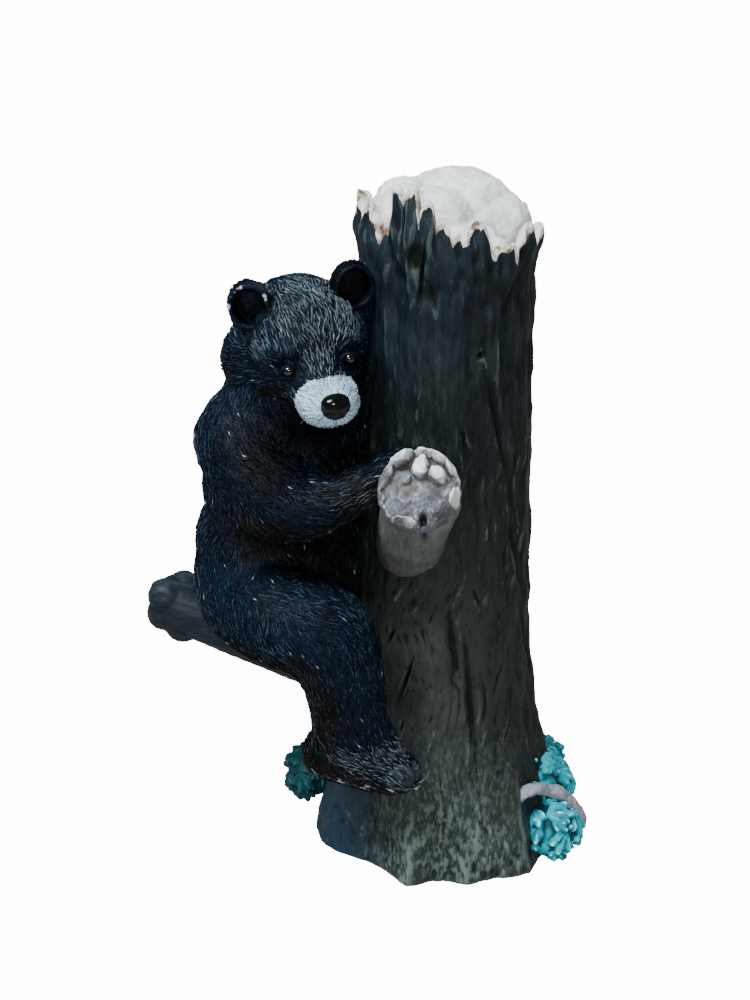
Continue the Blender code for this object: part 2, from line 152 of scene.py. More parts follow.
# Knobs on the perch's end: right, back and up in millimetres, and size as a share of its radius
KNOBS = (
    (-2.5, -2, 2.8, 0.6), (-3, -1.5, -1.4, 0.6), (0.5, -1.5, -4.6, 0.55), (-2, 3, 0.5, 0.6), (1, 1, 3.6, 0.5),
)
# Chunks of torn wood on the stub's end: right, up, height, half length, half width, the turn of the
# length and how much it rises along it, in millimetres and degrees
TORN = (
    (-3.9, 5.8, 3.8, 3.0, 2.2, 40, 0.6), (-6.3, 1.9, 1.6, 3.2, 1.3, 72, 0.5),
    (-6.8, -1.8, 1.2, 2.7, 1.0, 98, 0.1), (0.6, 7.1, 3.6, 2.4, 1.6, 10, 0.4),
    (3.7, 6.3, 4.0, 2.9, 1.6, -32, 0.4), (6.3, 3.9, 3.6, 3.1, 1.5, -58, -0.3),
    (0.3, 3.3, 2.9, 2.2, 1.6, 80, 0.5), (3.5, 2.3, 2.4, 2.2, 1.6, -60, -0.4),
    (6.7, -1.6, 3.0, 2.3, 1.4, 75, 0.3), (4.6, -3.8, 0.9, 2.8, 1.5, 50, 0.3),
    (-2.2, -6.5, 2.7, 3.1, 1.0, -10, 0.2), (-5.6, -4.9, 0.9, 2.3, 0.9, -50, 0.1),
    (-2.4, 0.6, 1.1, 1.3, 0.6, 50, 0.3), (-0.6, -2.2, 0.5, 4.6, 2.8, 30, 0.2),
)
# Right, up and radius of the dark hole in the stub's end, and where its crack ends, in millimetres
HOLE = (1.3, -5.9, 0.62)
CRACK_REACH = 11
# Lumps of the torso: right, back and up from the seat and three radii, in millimetres
TORSO = (
    (0, 0, 16.5, 13, 14, 13.5), (1.5, -1, 25, 13.5, 14, 14), (3, -2, 38, 13, 13, 14),
    (12, -2, 36, 12, 12, 19), (10, -2, 20, 13, 12.5, 14), (12, -4, 51, 11.5, 10.5, 13),
    (17, -3, 64, 8, 8, 10), (21, -1, 74, 5.5, 6, 8), (2.5, -2, 49, 12.5, 16.5, 10), (9, -10, 46, 9.5, 8.5, 9),
)
# Side, knee, shoulder and reach of the front and the back limbs
LIMBS = ((-1, 23, 12, -1), (1, 21, 8, 3))
# Lumps of the skull, and of each side of the face: right, forward, up and three radii
SKULL = (
    (0, -1, 0.5, 12.1, 12, 11.3), (0, 3, 2.5, 11, 9.5, 9.4), (0, 2, -4.5, 11, 9.5, 7),
    (3.4, -2, -3.5, 11.5, 10, 9.5), (-4.0, 3.0, 0.8, 7.9, 7.2, 6.8), (0, 9, 0.5, 5.0, 5.4, 5.0),
)
CHEEKS = ((5.8, 3, -4.5, 5.7, 7, 6.0), (4.3, 8.8, -2.2, 3.8, 4.6, 3.8), (5.0, 8.0, 4.0, 4.4, 4.0, 3.2))
STROKE_WIDTH = 0.17 * MM
STROKE_PROUD = 0.24 * MM

# How bright the studio looks to the camera, and how much light its sky gives
GLOW = 14.0
SKY_LIGHT = 0.13


# Measures

def hash_share(seed):
    """A share from 0 to 1 that looks random and is always the same for a seed."""
    return noise.cell(Vector((seed * 7.31, seed * 3.17 + 0.5, seed * 1.93)))


def bump(value, middle, width):
    return np.exp(-(((value - middle) / width) ** 2))


def rise(value, low, high):
    """A share that goes evenly from 0 at low to 1 at high."""
    return np.clip((value - low) / (high - low), 0, 1)


def turn_between(first, second):
    """The signed difference of two angles in degrees, from -180 to 180."""
    return (first - second + 180) % 360 - 180


# A circle of this radius is 360 long, so that grain on it has its size in degrees
DEGREE_CIRCLE = 57.3


def circle(degrees):
    """Points at angles on a circle of radius 1."""
    turn = np.radians(degrees)
    return np.stack([np.cos(turn), np.sin(turn), 0 * turn], 1)


def grain(points, size, seed=0):
    """Smooth noise from -1 to 1 at points, in lumps about size across."""
    turn = np.array([[0.36, 0.48, -0.8], [-0.8, 0.6, 0.0], [0.48, 0.64, 0.6]])
    place = points @ turn / size + 17.13 * seed + 400
    cell = np.floor(place).astype(np.int64)
    share = place - cell
    share = share * share * (3 - 2 * share)
    total = np.zeros(len(place))
    for corner in range(8):
        step = (corner & 1, corner >> 1 & 1, corner >> 2 & 1)
        at = cell + np.array(step)
        mixed = (at[:, 0] * 73856093) ^ (at[:, 1] * 19349663) ^ (at[:, 2] * 83492791)
        mixed = ((mixed ^ (mixed >> 13)) * 1274126177) & 0x7FFFFFFF
        mixed = (mixed ^ (mixed >> 15)) & 0xFFFF
        x, y, z = (share[:, k] if step[k] else 1 - share[:, k] for k in range(3))
        total += x * y * z * (mixed / 32767.5 - 1)
    return total


def layered_grain(points, size, layers=3, seed=0):
    return sum(grain(points, size / 2**k, seed + k) / 2**k for k in range(layers)) / 1.5


def ring_grain(degrees, size):
    return grain(circle(degrees) * DEGREE_CIRCLE, size, 9)


def sway(points, *waves):
    """Vectors that wander from point to point, by the strength, the size and the seed of each wave."""
    total = np.zeros((len(points), 3))
    for far, size, seed in waves:
        total += far * np.stack([grain(points, size * MM, seed + k) for k in range(3)], 1)
    return total


def unit(vectors):
    return vectors / np.maximum(np.linalg.norm(vectors, axis=1, keepdims=True), 1e-12)


# Clay tools

class Clay:
    """Lumps of clay, kept as points and triangles until they are fused."""

    def __init__(self):
        self.points, self.faces, self.count = [], [], 0

    def take(self, points, faces):
        self.points.append(points)
        self.faces.append(faces + self.count)
        self.count += len(points)


def plain_ball(steps):
    """The points and the triangles of a ball of radius 1."""
    lump = bmesh.new()
    bmesh.ops.create_icosphere(lump, subdivisions=steps, radius=1)
    lump.verts.index_update()
    points = np.array([vert.co[:] for vert in lump.verts])
    faces = np.array([[vert.index for vert in face.verts] for face in lump.faces])
    lump.free()
    return points, faces


BALL, FINE_BALL = plain_ball(3), plain_ball(6)


def press(clay, shape):
    """Adds a ball of radius 1 that a matrix puts in its place and shape."""
    shape = np.array(shape)
    clay.take(BALL[0] @ shape[:3, :3].T + shape[:3, 3], BALL[1])


def ball(clay, centre, radii, turn=None):
    """An ellipsoid of clay. radii is one radius or three, along the axes of turn."""
    radii = radii if hasattr(radii, "__len__") else (radii,) * 3
    press(clay, Matrix.Translation(centre) @ (turn or Matrix()).to_4x4() @ Matrix.Diagonal((*radii, 1)))


def along(stations, share):
    """The point and the radius at a share of a smooth line through stations of (point, radius)."""
    last = len(stations) - 1
    at = min(int(share * last), last - 1)
    t = share * last - at
    picked = [stations[max(0, min(last, at + k))] for k in (-1, 0, 1, 2)]
    weights = (-0.5 * t + t * t - 0.5 * t**3, 1 - 2.5 * t * t + 1.5 * t**3,
               0.5 * t + 2 * t * t - 1.5 * t**3, -0.5 * t * t + 0.5 * t**3)
    point = sum((Vector(station[0]) * weight for station, weight in zip(picked, weights)), Vector())
    return point, sum(station[1] * weight for station, weight in zip(picked, weights))


def roll(clay, stations, steps=16):
    """A roll of clay through stations of (point, radius), with round ends."""
    for k in range(steps + 1):
        ball(clay, *along(stations, k / steps))


def in_scene(name, data):
    obj = bpy.data.objects.new(name, data)
    bpy.context.scene.collection.objects.link(obj)
    return obj


def settled(lump):
    """The skin that an object's tools leave. The object goes."""
    skin = bpy.data.meshes.new_from_object(lump.evaluated_get(bpy.context.evaluated_depsgraph_get()))
    bpy.data.objects.remove(lump)
    return skin


def fuse(shape, voxel, rounds):
    """The clay that shape adds, as one skin: its lumps joined, and the joins softened over so many rounds."""
    clay = Clay()
    shape(clay)
    mesh = bpy.data.meshes.new("clay")
    mesh.from_pydata(np.concatenate(clay.points), [], np.concatenate(clay.faces))
    lump = in_scene("clay", mesh)
    join = lump.modifiers.new("Join", "REMESH")
    join.mode, join.voxel_size = "VOXEL", voxel
    soften = lump.modifiers.new("Soften", "SMOOTH")
    soften.factor, soften.iterations = 0.5, rounds
    skin = settled(lump)
    bpy.data.meshes.remove(mesh)
    return skin


def thinned(mesh, most):
    """A skin with about so many triangles at most, which stay closest together where it is carved."""
    count = sum(len(face.vertices) - 2 for face in mesh.polygons)
    if count <= most:
        return mesh
    lump = in_scene("thin", mesh)
    lump.modifiers.new("Thin", "DECIMATE").ratio = most / count
    skin = settled(lump)
    bpy.data.meshes.remove(mesh)
    return skin


def add_skin(clay, skin):
    skin.calc_loop_triangles()
    clay.take(points_of(skin), read(skin.loop_triangles, "vertices", 3, np.int32))
    bpy.data.meshes.remove(skin)


# Carving tools, which work on all the points of a skin at once

def read(rows, field, width, kind=np.float32):
    """The numbers that a mesh holds in a field of its rows."""
    flat = np.empty(len(rows) * width, kind)
    rows.foreach_get(field, flat)
    return flat.reshape(-1, width)


def points_of(mesh):
    return read(mesh.vertices, "co", 3).astype(float)


def normals_of(mesh):
    return read(mesh.vertex_normals, "vector", 3).astype(float)


def edges_of(mesh):
    return read(mesh.edges, "vertices", 2, np.int32)


def move_to(mesh, points):
    mesh.vertices.foreach_set("co", points.astype(np.float32).ravel())
    mesh.update()


def push_out(mesh, depth):
    """Moves each point of a skin out along its normal, and gives the points."""
    points = points_of(mesh) + normals_of(mesh) * depth[:, None]
    move_to(mesh, points)
    return points


def keep(mesh, **fields):
    """Keeps numbers, or vectors, for the points of a skin under names that paints can read."""
    for name, values in fields.items():
        wide = values.ndim == 2
        field = mesh.attributes.new(name, "FLOAT_VECTOR" if wide else "FLOAT", "POINT")
        field.data.foreach_set("vector" if wide else "value", values.astype(np.float32).ravel())


def spread(values, edges, rounds):
    """Rows of values evened out between neighbouring points, over so many rounds."""
    count = len(values)
    links = np.maximum(np.bincount(edges.ravel(), minlength=count)[:, None], 1)
    for _ in range(rounds):
        total = np.zeros_like(values)
        for column in range(values.shape[1]):
            for here, there in ((0, 1), (1, 0)):
                total[:, column] += np.bincount(edges[:, here], values[edges[:, there], column], count)
        values = 0.5 * values + 0.5 * total / links
    return values


def crests(mesh, rounds, reach, longest_link=2 * MM):
    """How far each point stands over its surroundings, from -1 in a hollow to 1 on a crest."""
    points, edges = points_of(mesh), edges_of(mesh)
    near = np.linalg.norm(points[edges[:, 0]] - points[edges[:, 1]], axis=1) < longest_link
    over = ((points - spread(points, edges[near], rounds)) * normals_of(mesh)).sum(1)
    return np.clip(over / reach, -1, 1)


def plain_crest(skin, rounds=5, reach=0.14 * MM):
    """Marks a skin's fine crests, and its wider hollows."""
    keep(skin, crest=crests(skin, rounds, reach), hollow=np.clip(-crests(skin, 24, 0.30 * MM), 0, 1))
    return skin


def along_surface(vectors, normals):
    """The part of each vector that lies along the surface, at length 1."""
    return unit(vectors - normals * (vectors * normals).sum(1, keepdims=True))


def combed(points, lie, length, size, seed, steps=5):
    """Noise from about -1 to 1, drawn out along the lie of the fur."""
    total = grain(points, size, seed)
    for way in (-1, 1):
        at = points.copy()
        for _ in range(steps):
            at += way * length / steps * lie(at)
            total += grain(at, size, seed)
    return np.clip(total / (steps + 1), -1, 1)


def carve_fur(mesh, lie, locks, hairs, tell):
    """Locks and hairs carved into a skin along the lie of its fur."""
    points = points_of(mesh)
    lock = combed(points, lie, 2.6 * MM, 1.1 * MM, 3)
    push_out(mesh, tell * (locks * lock + hairs * combed(points, lie, 1.3 * MM, 0.45 * MM, 5)))


# Shapes of the cub

def cub(right, back, up):
    """A point of the cub, in millimetres from its seat."""
    seat = Vector((-TRUNK_RADIUS - SEAT_FROM_TRUNK, -SEAT_FRONT, PERCH_HEIGHT + SEAT_OVER_PERCH))
    return seat + Vector((right, back, up)) * MM


def cub_line(stations):
    return [(cub(*place), radius * MM) for *place, radius in stations]


def cub_ball(clay, right, back, up, *radii):
    ball(clay, cub(right, back, up), [radius * MM for radius in radii])


def limb_lines(side, knee, shoulder, over):
    """An arm, a leg, a foot, an instep, and a leg with its toes, as rows of right, back, up and radius."""
    arm = ((over, shoulder, 51, 9), (over + 3.5, shoulder + 6.5, 45.5, 8.6),
           (over + 9, shoulder + 9.5, 41.4, 6.9), (17, shoulder + 9.5, 42.8, 4.9),
           (26, shoulder + 7.5, 47.3, 4.1), (32, shoulder + 6, 48.1, 3.7))
    leg = ((-0.5, 8, 15.5, 10.4), (7, knee - 4, 16.3, 9.9), (15, knee - 0.5, 15.2, 9.1),
           (18.5, knee, 3.5, 8.0), (19, knee - 1, -7, 7.2))
    foot = ((15, knee - 2, -12.5, 5.6), (22, knee, -13.5, 5.8), (28, knee + 1, -15, 5.0))
    instep = ((20, knee, -5, 6.4), (25, knee + 1, -11, 5.4), (28, knee + 1, -15, 5.0))
    toes = ((24, knee + 0.5, -12, 6), (33, knee + 1, -16, 4))
    return [[(right, back * side, up, radius) for right, back, up, radius in line]
            for line in (arm, leg, foot, instep, leg + toes)]


def body(clay):
    for lump in TORSO:
        cub_ball(clay, *lump)
    roll(clay, cub_line(((4, -3, 49, 12), (8.5, -7, 60, 11.8))))
    for limb in LIMBS:
        for line in limb_lines(*limb)[:4]:
            roll(clay, cub_line(line))


def whole_body(clay):
    """The body, with toes and claws that stay crisp."""
    add_skin(clay, fuse(body, 0.8 * MM, 34))
    for side, knee, shoulder, _ in LIMBS:
        for toe in range(4):
            out = toe - 1.5
            across = (knee + 1.0 + 3.1 * out) * side
            cub_ball(clay, 30.6 - abs(out), across, 0.6 * out - 14.8, 3.4, 1.55, 3.1)
            cub_ball(clay, 33.2 - abs(out), across, 0.6 * out - 16.2, 1.5, 0.75, 1.1)
            finger = (shoulder + 6 + 0.8 * out) * side
            cub_ball(clay, 35.0 - abs(out), finger, 46.8 + 2.3 * out, 3.0, 1.8, 1.5)


def head_matrix():
    """Turns head directions (to its right, forward, up) into the casting's own."""
    turn = Matrix()
    for degrees, axis in ((HEAD_YAW, "Z"), (180, "Z"), (HEAD_PITCH, "X"), (HEAD_ROLL, "Y")):
        turn @= Matrix.Rotation(math.radians(degrees), 4, axis)
    return Matrix.Translation(cub(10.4, -8, 69.3)) @ turn @ Matrix.Scale(MM, 4)


def head_ball(clay, right, forward, up, *radii, turn=None):
    radii = radii if len(radii) == 3 else radii * 3
    shape = head_matrix() @ Matrix.Translation((right, forward, up)) @ (turn or Matrix())
    press(clay, shape @ Matrix.Diagonal((*radii, 1)))


def head_places(points):
    """Points in head directions: to its right, forward and up, in millimetres."""
    back = np.array(head_matrix().inverted())
    return points @ back[:3, :3].T + back[:3, 3]


def skull(clay):
    for lump in SKULL:
        head_ball(clay, *lump)
    for side in (-1, 1):
        for right, *rest in CHEEKS:
            head_ball(clay, right * side, *rest)
    for k in range(7):
        t = k / 6
        head_ball(clay, 0, 8 + 9 * t, -2.6 - 1.4 * t, 6.8 - 1.1 * t, 5, 5.6 - 1.0 * t)
    head_ball(clay, 0, 12.5, -6.6, 5.0, 5.6, 3.6)


def ear_turn(side):
    """The way that an ear's cup faces, in head directions."""
    return Matrix.Rotation(math.radians(-9 - 11 * side), 4, "Z") @ Matrix.Rotation(math.radians(8), 4, "X")


def ear_root(side):
    return Vector((9.6 * side - 0.5, 1.0, 10.0))


def head(clay):
    """The skull, with ears and eyelids that stay crisp."""
    add_skin(clay, fuse(skull, 0.8 * MM, 11))
    for side in (-1, 1):
        out, root = ear_turn(side), ear_root(side)
        head_ball(clay, *(root - out @ Vector((0, 0.9, 0))), 3.7, 0.9, 4.1, turn=out)
        head_ball(clay, 8.2 * side, -2.6, 5.8, 3.8, 2.8, 3.6, turn=out)
        for k in range(48):
            angle = math.tau * k / 48
            for forward, size in ((0.0, 0.72), (0.7, 0.66), (1.4, 0.58), (1.9, 0.48)):
                rim = root + out @ Vector((3.4 * math.cos(angle), forward, 3.85 * math.sin(angle)))
                head_ball(clay, *rim, size)
        for k in range(25):
            angle = math.pi * (k / 24 * 1.1 - 0.05)
            lid = Vector((EYE[0] * side, *EYE[1:]))
            lid += Vector((1.3 * math.cos(angle), -0.05, 0.95 * math.sin(angle)))
            head_ball(clay, *lid, 0.40)
            head_ball(clay, lid.x, lid.y - 0.1, 2 * EYE[2] - lid.z + 0.1, 0.30)


def eyes(clay):
    for side in (-1, 1):
        head_ball(clay, EYE[0] * side, *EYE[1:], 1.05)


def nose(clay):
    head_ball(clay, 0, 21.0, -2.6, 2.75, 2.0, 2.3)
    head_ball(clay, 0, 20.8, -1.7, 2.65, 1.9, 1.6)


# Lie of the fur

def body_stations():
    """Points down the spine and the limbs, their reach, and the way that the fur lies there."""
    arms, thighs = zip(*(limb_lines(*limb)[::4] for limb in LIMBS))
    spine = ((6, 2, 62, 12), (0, 4, 45, 14), (-2, 2, 25, 14), (-1, 0, 4, 13))
    front = ((16, -12, 58, 10), (14, -10, 40, 11), (12, -8, 22, 11), (12, -4, 8, 10))
    found = []
    for line in (spine, front, *arms, *thighs):
        stations = cub_line(line)
        hang = Vector((0.1, 0, -1)) * (1.1 if line in thighs else 0.35)
        for k in range(12):
            here, reach = along(stations, k / 12)
            way = (along(stations, (k + 0.9) / 12)[0] - here).normalized()
            found.append((here, reach, (way + hang * max(0, 1 - k / 8)).normalized()))
    return [np.array(column) for column in zip(*found)]


STATIONS = body_stations()


def body_lie(points):
    places, reaches, ways = STATIONS
    gaps = (points**2).sum(1)[:, None] - 2 * points @ places.T + (places**2).sum(1)
    gaps = np.maximum(gaps, 1e-9) / reaches**2
    return unit(unit(1 / (gaps**3 * np.sqrt(gaps)) @ ways) + sway(points, (0.55, 7, 31), (0.35, 2.5, 41)))


def head_lie(points):
    """Back from the nose over the brow and the cheeks, and down behind the cheeks."""
    place = head_places(points)
    away = place - np.array([0, 19.5, -3.2])
    away[:, 2] -= 5 * np.clip(1 - place[:, 2] / 4, 0, 2) * rise(place[:, 1], 12, 2)
    turn = np.array(head_matrix())[:3, :3]
    return unit(unit(away @ turn.T) + sway(points, (0.4, 5, 51), (0.3, 1.8, 61)))


# Shapes of the tree

def trunk_gap(points):
    """How far points are outside the trunk's plain round surface."""
    lean = TRUNK_LEAN * points[:, 2] / TRUNK_HEIGHT
    swell = TRUNK_SWELL * np.exp(-points[:, 2] / SWELL_FALL)
    return np.hypot(points[:, 0] - lean, points[:, 1]) - TRUNK_RADIUS - swell


def splinters(degrees):
    """The height of the splinters at angles round the rim, and how near the middle of one each angle is."""
    height, middle = np.zeros_like(degrees), np.zeros_like(degrees)
    for at, width, share in SPLINTERS:
        round_off = np.maximum(0, 1 - (np.abs(turn_between(degrees, at)) / width) ** 3)
        height = np.maximum(height, share * round_off)
        middle = np.maximum(middle, round_off)
    return height, middle


def torn_rim(degrees):
    """The height of the broken bark at an angle round the trunk."""
    ragged = 1.7 * MM * ring_grain(degrees, 4.2) + 0.8 * MM * ring_grain(degrees, 1.6)
    slant = RIM_SLANT * np.cos(np.radians(degrees))
    return TRUNK_HEIGHT - slant + SPLINTER_HEIGHT * splinters(degrees)[0] + ragged


def crack_share(degrees, height):
    """How deep the bark's long cracks are at places on the trunk, as shares of their depth."""
    deepest = np.zeros_like(degrees)
    for k in range(CRACKS):
        middle = TRUNK_HEIGHT * (0.08 + 0.92 * hash_share(k + 1))
        length = CRACK_LENGTH * (0.5 + hash_share(k + 40))
        drift = 8 * (height - middle) / CRACK_LENGTH * (hash_share(k + 80) - 0.5)
        across = bump(turn_between(degrees, k * 137.5 + 9 + drift), 0, 3.4)
        deepest = np.maximum(deepest, across * bump(height, middle, 0.6 * length))
    return deepest


def nicks(degrees, height):
    """Short sharp cuts in the bark that lean up to the right, as shares of their depth."""
    deepest = np.zeros_like(degrees)
    for k in range(NICKS):
        at, middle, length, lean, wide, deep = (hash_share(k + seed) for seed in range(300, 1500, 200))
        far = height - TRUNK_HEIGHT * (0.02 + 0.95 * middle)
        across = bump(turn_between(degrees, 360 * at + 1.6 * (lean + 0.15) / MM * far), 0, 0.8 + 0.7 * wide)
        share = (0.45 + 0.55 * deep) * across * bump(far, 0, (1.4 + 3.2 * length) * MM)
        deepest = np.maximum(deepest, share)
    for at, middle, length, wide, lean in GASHES:
        far = height / MM - middle
        across = bump(turn_between(degrees, at + lean * far), 0, wide)
        deepest = np.maximum(deepest, np.clip(1.5 * across * bump(far, 0, length), 0, 1))
    return deepest


def upward(height, share):
    """Points over the middle at shares of heights."""
    return np.outer(height, (0, 0, share))


def bark_radius(degrees, height, cracked, nicked):
    """How far the bark is from the trunk's middle at places round it."""
    around = circle(degrees)
    radius = TRUNK_RADIUS + TRUNK_SWELL * np.exp(-height / SWELL_FALL)
    roots = sum(share * bump(turn_between(degrees, at), 0, width) for at, width, share in ROOTS)
    radius += ROOT_SPREAD * roots * bump(height, 0, ROOT_HEIGHT)
    where = around * 2.6 + upward(height / (30 * MM), 1)
    ridge = np.array([1 - 2.4 * abs(noise.noise(place)) for place in where])
    lump = np.array([noise.noise(place) for place in where * 0.5 + (7, 3, 1)])
    radius += BARK_RELIEF * (ridge - 0.6 + lump) - CRACK_DEPTH * cracked
    radius += COLLAR * bump(turn_between(degrees, 205), 0, 42) * bump(height, COLLAR_HEIGHT, COLLAR_SPAN)
    radius += RIM_FLARE * bump(height, TRUNK_HEIGHT, RIM_DEPTH)
    fall = FLUTE_LENGTH * (0.85 + 0.5 * grain(around * DEGREE_CIRCLE, 11, 15))
    below_rim = np.maximum(0, TRUNK_HEIGHT + 3 * MM - height) / fall
    bend = 11 * np.clip(below_rim, 0, 1) * grain(around * 2.2 + upward(height, 1 / (9 * MM)), 1, 16)
    radius -= FLUTE_DEPTH * (1 - splinters(degrees + bend)[1]) * np.exp(-(below_rim**2))
    chips = layered_grain(TRUNK_RADIUS * around + upward(height, 0.5), 2.6 * MM, 2, 17)
    radius += CHIP_DEPTH * (0.35 + 0.65 * bump(height, TRUNK_HEIGHT + 4 * MM, 18 * MM)) * chips
    waver = sway(np.outer(height, (1, 0, 0)), (1.9 * MM, 9, 1))
    streak = layered_grain(TRUNK_RADIUS * around + waver + upward(height, 1 / 9), 1.25 * MM, 3, 4)
    radius += STREAK_DEPTH * streak * (1.1 - 0.7 * bump(height, TRUNK_HEIGHT, 22 * MM))
    return radius - NICK_DEPTH * nicked


def trunk():
    """The trunk from its roots to the torn rim, hollow for a little way down. Its front has most columns."""
    steady = np.linspace(0, 360, 3600, endpoint=False)
    pace = np.cumsum(1 + 0.9 * bump(turn_between(steady, FINEST_SIDE), 0, 55))
    wanted = pace[-1] * np.arange(TRUNK_COLUMNS) / TRUNK_COLUMNS
    columns = np.interp(wanted, [0, *pace], [*steady, 360])
    height = (np.arange(TRUNK_ROWS + 1)[:, None] / TRUNK_ROWS * torn_rim(columns)).ravel()
    degrees = np.tile(columns, TRUNK_ROWS + 1)
    cracked, nicked = crack_share(degrees, height), nicks(degrees, height)
    bark = circle(degrees) * bark_radius(degrees, height, cracked, nicked)[:, None]
    bark[:, 0] += TRUNK_LEAN * height / TRUNK_HEIGHT
    bark[:, 2] = height
    rings = [bark]
    floor_z = TRUNK_HEIGHT - HOLLOW_DEPTH
    for share, drop, wave in HOLLOW_RINGS:
        ring = bark[-TRUNK_COLUMNS:].copy()
        wobble = 1 + 0.03 * wave * ring_grain(columns, 6.0 + drop)
        ring[:, 0] = TRUNK_LEAN + (ring[:, 0] - TRUNK_LEAN) * share * wobble
        ring[:, 1] *= share * wobble
        ring[:, 2] = np.maximum(ring[:, 2] - drop * MM + 0.3 * MM * ring_grain(columns, 2.0 + drop), floor_z)
        rings.append(ring)
    points = np.concatenate([*rings, [[0, 0, 0], [TRUNK_LEAN, 0, floor_z]]])
    ground = len(points) - 2
    top = ground - TRUNK_COLUMNS
    here = np.arange(TRUNK_COLUMNS)
    there = (here + 1) % TRUNK_COLUMNS
    low = np.arange(0, top, TRUNK_COLUMNS)[:, None]
    up = low + TRUNK_COLUMNS
    faces = np.stack([low + here, low + there, up + there, up + here], 2).reshape(-1, 4).tolist()
    faces += [(int(b), int(a), ground) for a, b in zip(here, there)]
    faces += [(int(top + a), int(top + b), ground + 1) for a, b in zip(here, there)]
    mesh = bpy.data.meshes.new("tree_trunk")
    mesh.from_pydata(points.tolist(), [], faces)
    crisp = mesh.attributes.new("sharp_edge", "BOOLEAN", "EDGE")
    crisp.data.foreach_set("value", (edges_of(mesh) < TRUNK_COLUMNS).all(1))
    spare = np.ones(len(points) - len(bark))
    keep(mesh, torn=np.append(bump(height, torn_rim(degrees), 1.6 * MM), spare),
         crack=np.append(np.maximum(nicked, cracked * 0.6), 0 * spare))
    return mesh


def snow(clay):
    """The white mound in the hollow, highest at the back."""
    size = TRUNK_RADIUS / 16.5
    for right, back, down, *radii in SNOW:
        place = Vector((TRUNK_LEAN + right * size, back * size, TRUNK_HEIGHT + SNOW_RISE - down * size))
        ball(clay, place, [radius * size for radius in radii])


def perch_line():
    end = Vector((-TRUNK_RADIUS - PERCH_LENGTH + PERCH_RADIUS, PERCH_BACK, PERCH_HEIGHT + PERCH_RISE))
    return Vector((0, 0, PERCH_HEIGHT - PERCH_RADIUS * 0.6)), end


def perch(clay):
    start, end = perch_line()
    middle = start.lerp(end, 0.55) - Vector((0, 0, PERCH_RADIUS * 0.25))
    roll(clay, [(start, PERCH_RADIUS * 1.5), (middle, PERCH_RADIUS), (end, PERCH_RADIUS * 0.95)], 24)
    for *place, size in KNOBS:
        ball(clay, end + Vector(place) * PERCH_RADIUS / 6.5, PERCH_RADIUS * size)


def stub_line():
    end = Vector((STUB_SIDE, -TRUNK_RADIUS - STUB_REACH, STUB_HEIGHT + STUB_RISE))
    return Vector((STUB_SIDE * 0.6, -TRUNK_RADIUS * 0.6, STUB_HEIGHT)), end


def stub_axes():
    """The stub's own directions: to the right of its broken end, up it, and out of it."""
    start, end = stub_line()
    out = (end - start).normalized()
    side = Vector((0, 0, 1)).cross(out).normalized()
    return side, out.cross(side), out


def stub(clay):
    start, end = stub_line()
    foot = start - Vector((3.8 * MM, 0, 1.5 * MM))
    middle = foot.lerp(end, 0.45) - Vector((0, 0, STUB_RADIUS * 0.2))
    inside = end - (end - start).normalized() * (STUB_RADIUS + 3.0 * MM)
    roll(clay, [(foot, STUB_RADIUS * 0.95), (middle, STUB_RADIUS * 0.92), (inside, STUB_RADIUS)], 48)


def stub_end(clay):
    """The plain end of the stub before it is torn."""
    side, up, out = stub_axes()
    end = stub_line()[1]
    ball(clay, end - out * (5.3 * MM), (7.6 * MM, 7.7 * MM, 3.4 * MM), Matrix((side, up, out)).transposed())
    ball(clay, end - out * (STUB_RADIUS * 0.85 + 2.6 * MM), STUB_RADIUS * 0.9)


def stub_places(points):
    """Points as right, up and out from the middle of the stub's end, in millimetres."""
    return (points - np.array(stub_line()[1])) @ np.array(stub_axes()).T / MM


def torn_height(right, up):
    """How far the torn wood stands out over the stub's end, in millimetres."""
    tallest = np.zeros_like(right)
    for at_right, at_up, tall, long, wide, turn, tilt in TORN:
        angle = math.radians(turn)
        far_right, far_up = right - at_right, up - at_up
        lengthwise = (far_right * math.cos(angle) + far_up * math.sin(angle)) / long
        across = (far_up * math.cos(angle) - far_right * math.sin(angle)) / wide
        flank = np.clip(1.5 * (1.1 - np.hypot(lengthwise, across) ** 2), 0, 1)
        tallest = np.maximum(tallest, flank * (tall + tilt * lengthwise - 0.5 * np.abs(across)))
    return tallest


def hole_share(right, up, radius):
    return bump(np.hypot(right - HOLE[0], (up - HOLE[1]) * 0.7), 0, radius)


def torn_end_skin():
    """The stub's torn end: chunks and lips that stand out, a hollow between them, a dark hole and painted
    shade.
    """
    skin = fuse(stub_end, 0.15 * MM, 2)
    points = points_of(skin)
    right, up, out = stub_places(points).T
    bend_right, bend_up = (0.8 * layered_grain(points, 2.4 * MM, 3, seed) for seed in (90, 91))
    tall = torn_height(right + bend_right, up + bend_up)
    tall += 0.8 * layered_grain(points, 2.8 * MM, 4, 12) - 1.8 * hole_share(right, up, HOLE[2])
    points = points + np.array(stub_axes()[2]) * (tall * rise(out, -5.4, -3.6) * MM)[:, None]
    move_to(skin, points)
    move_to(skin, points + normals_of(skin) * (0.26 * MM * layered_grain(points, 1.3 * MM, 3, 14))[:, None])
    skin = plain_crest(thinned(skin, 70000))
    points = points_of(skin)
    right, up, out = stub_places(points).T
    high = torn_height(right, up) + 0.9 * layered_grain(points, 2.2 * MM, 3, 15) + 0.12 * (up + 1)
    # Painted shadow: dark patches by the hole at the lower right and at the upper left of the end
    shaded = bump(np.hypot(right - 4.6, up + 5.2), 0, 2.0)
    shaded += 0.7 * bump(np.hypot(right + 3.6, up - 4.0), 0, 1.1)
    # grey is painted shade: on the low wood, more towards the bottom of the end and back round its sides
    keep(skin, grey=np.clip(1 - rise(high, 1.5, 2.8) + rise(out, -4.2, -5.7), 0, 1),
         dark=np.clip(1.6 * hole_share(right, up, HOLE[2] * 1.2) + 0.55 * shaded, 0, 1))
    return skin


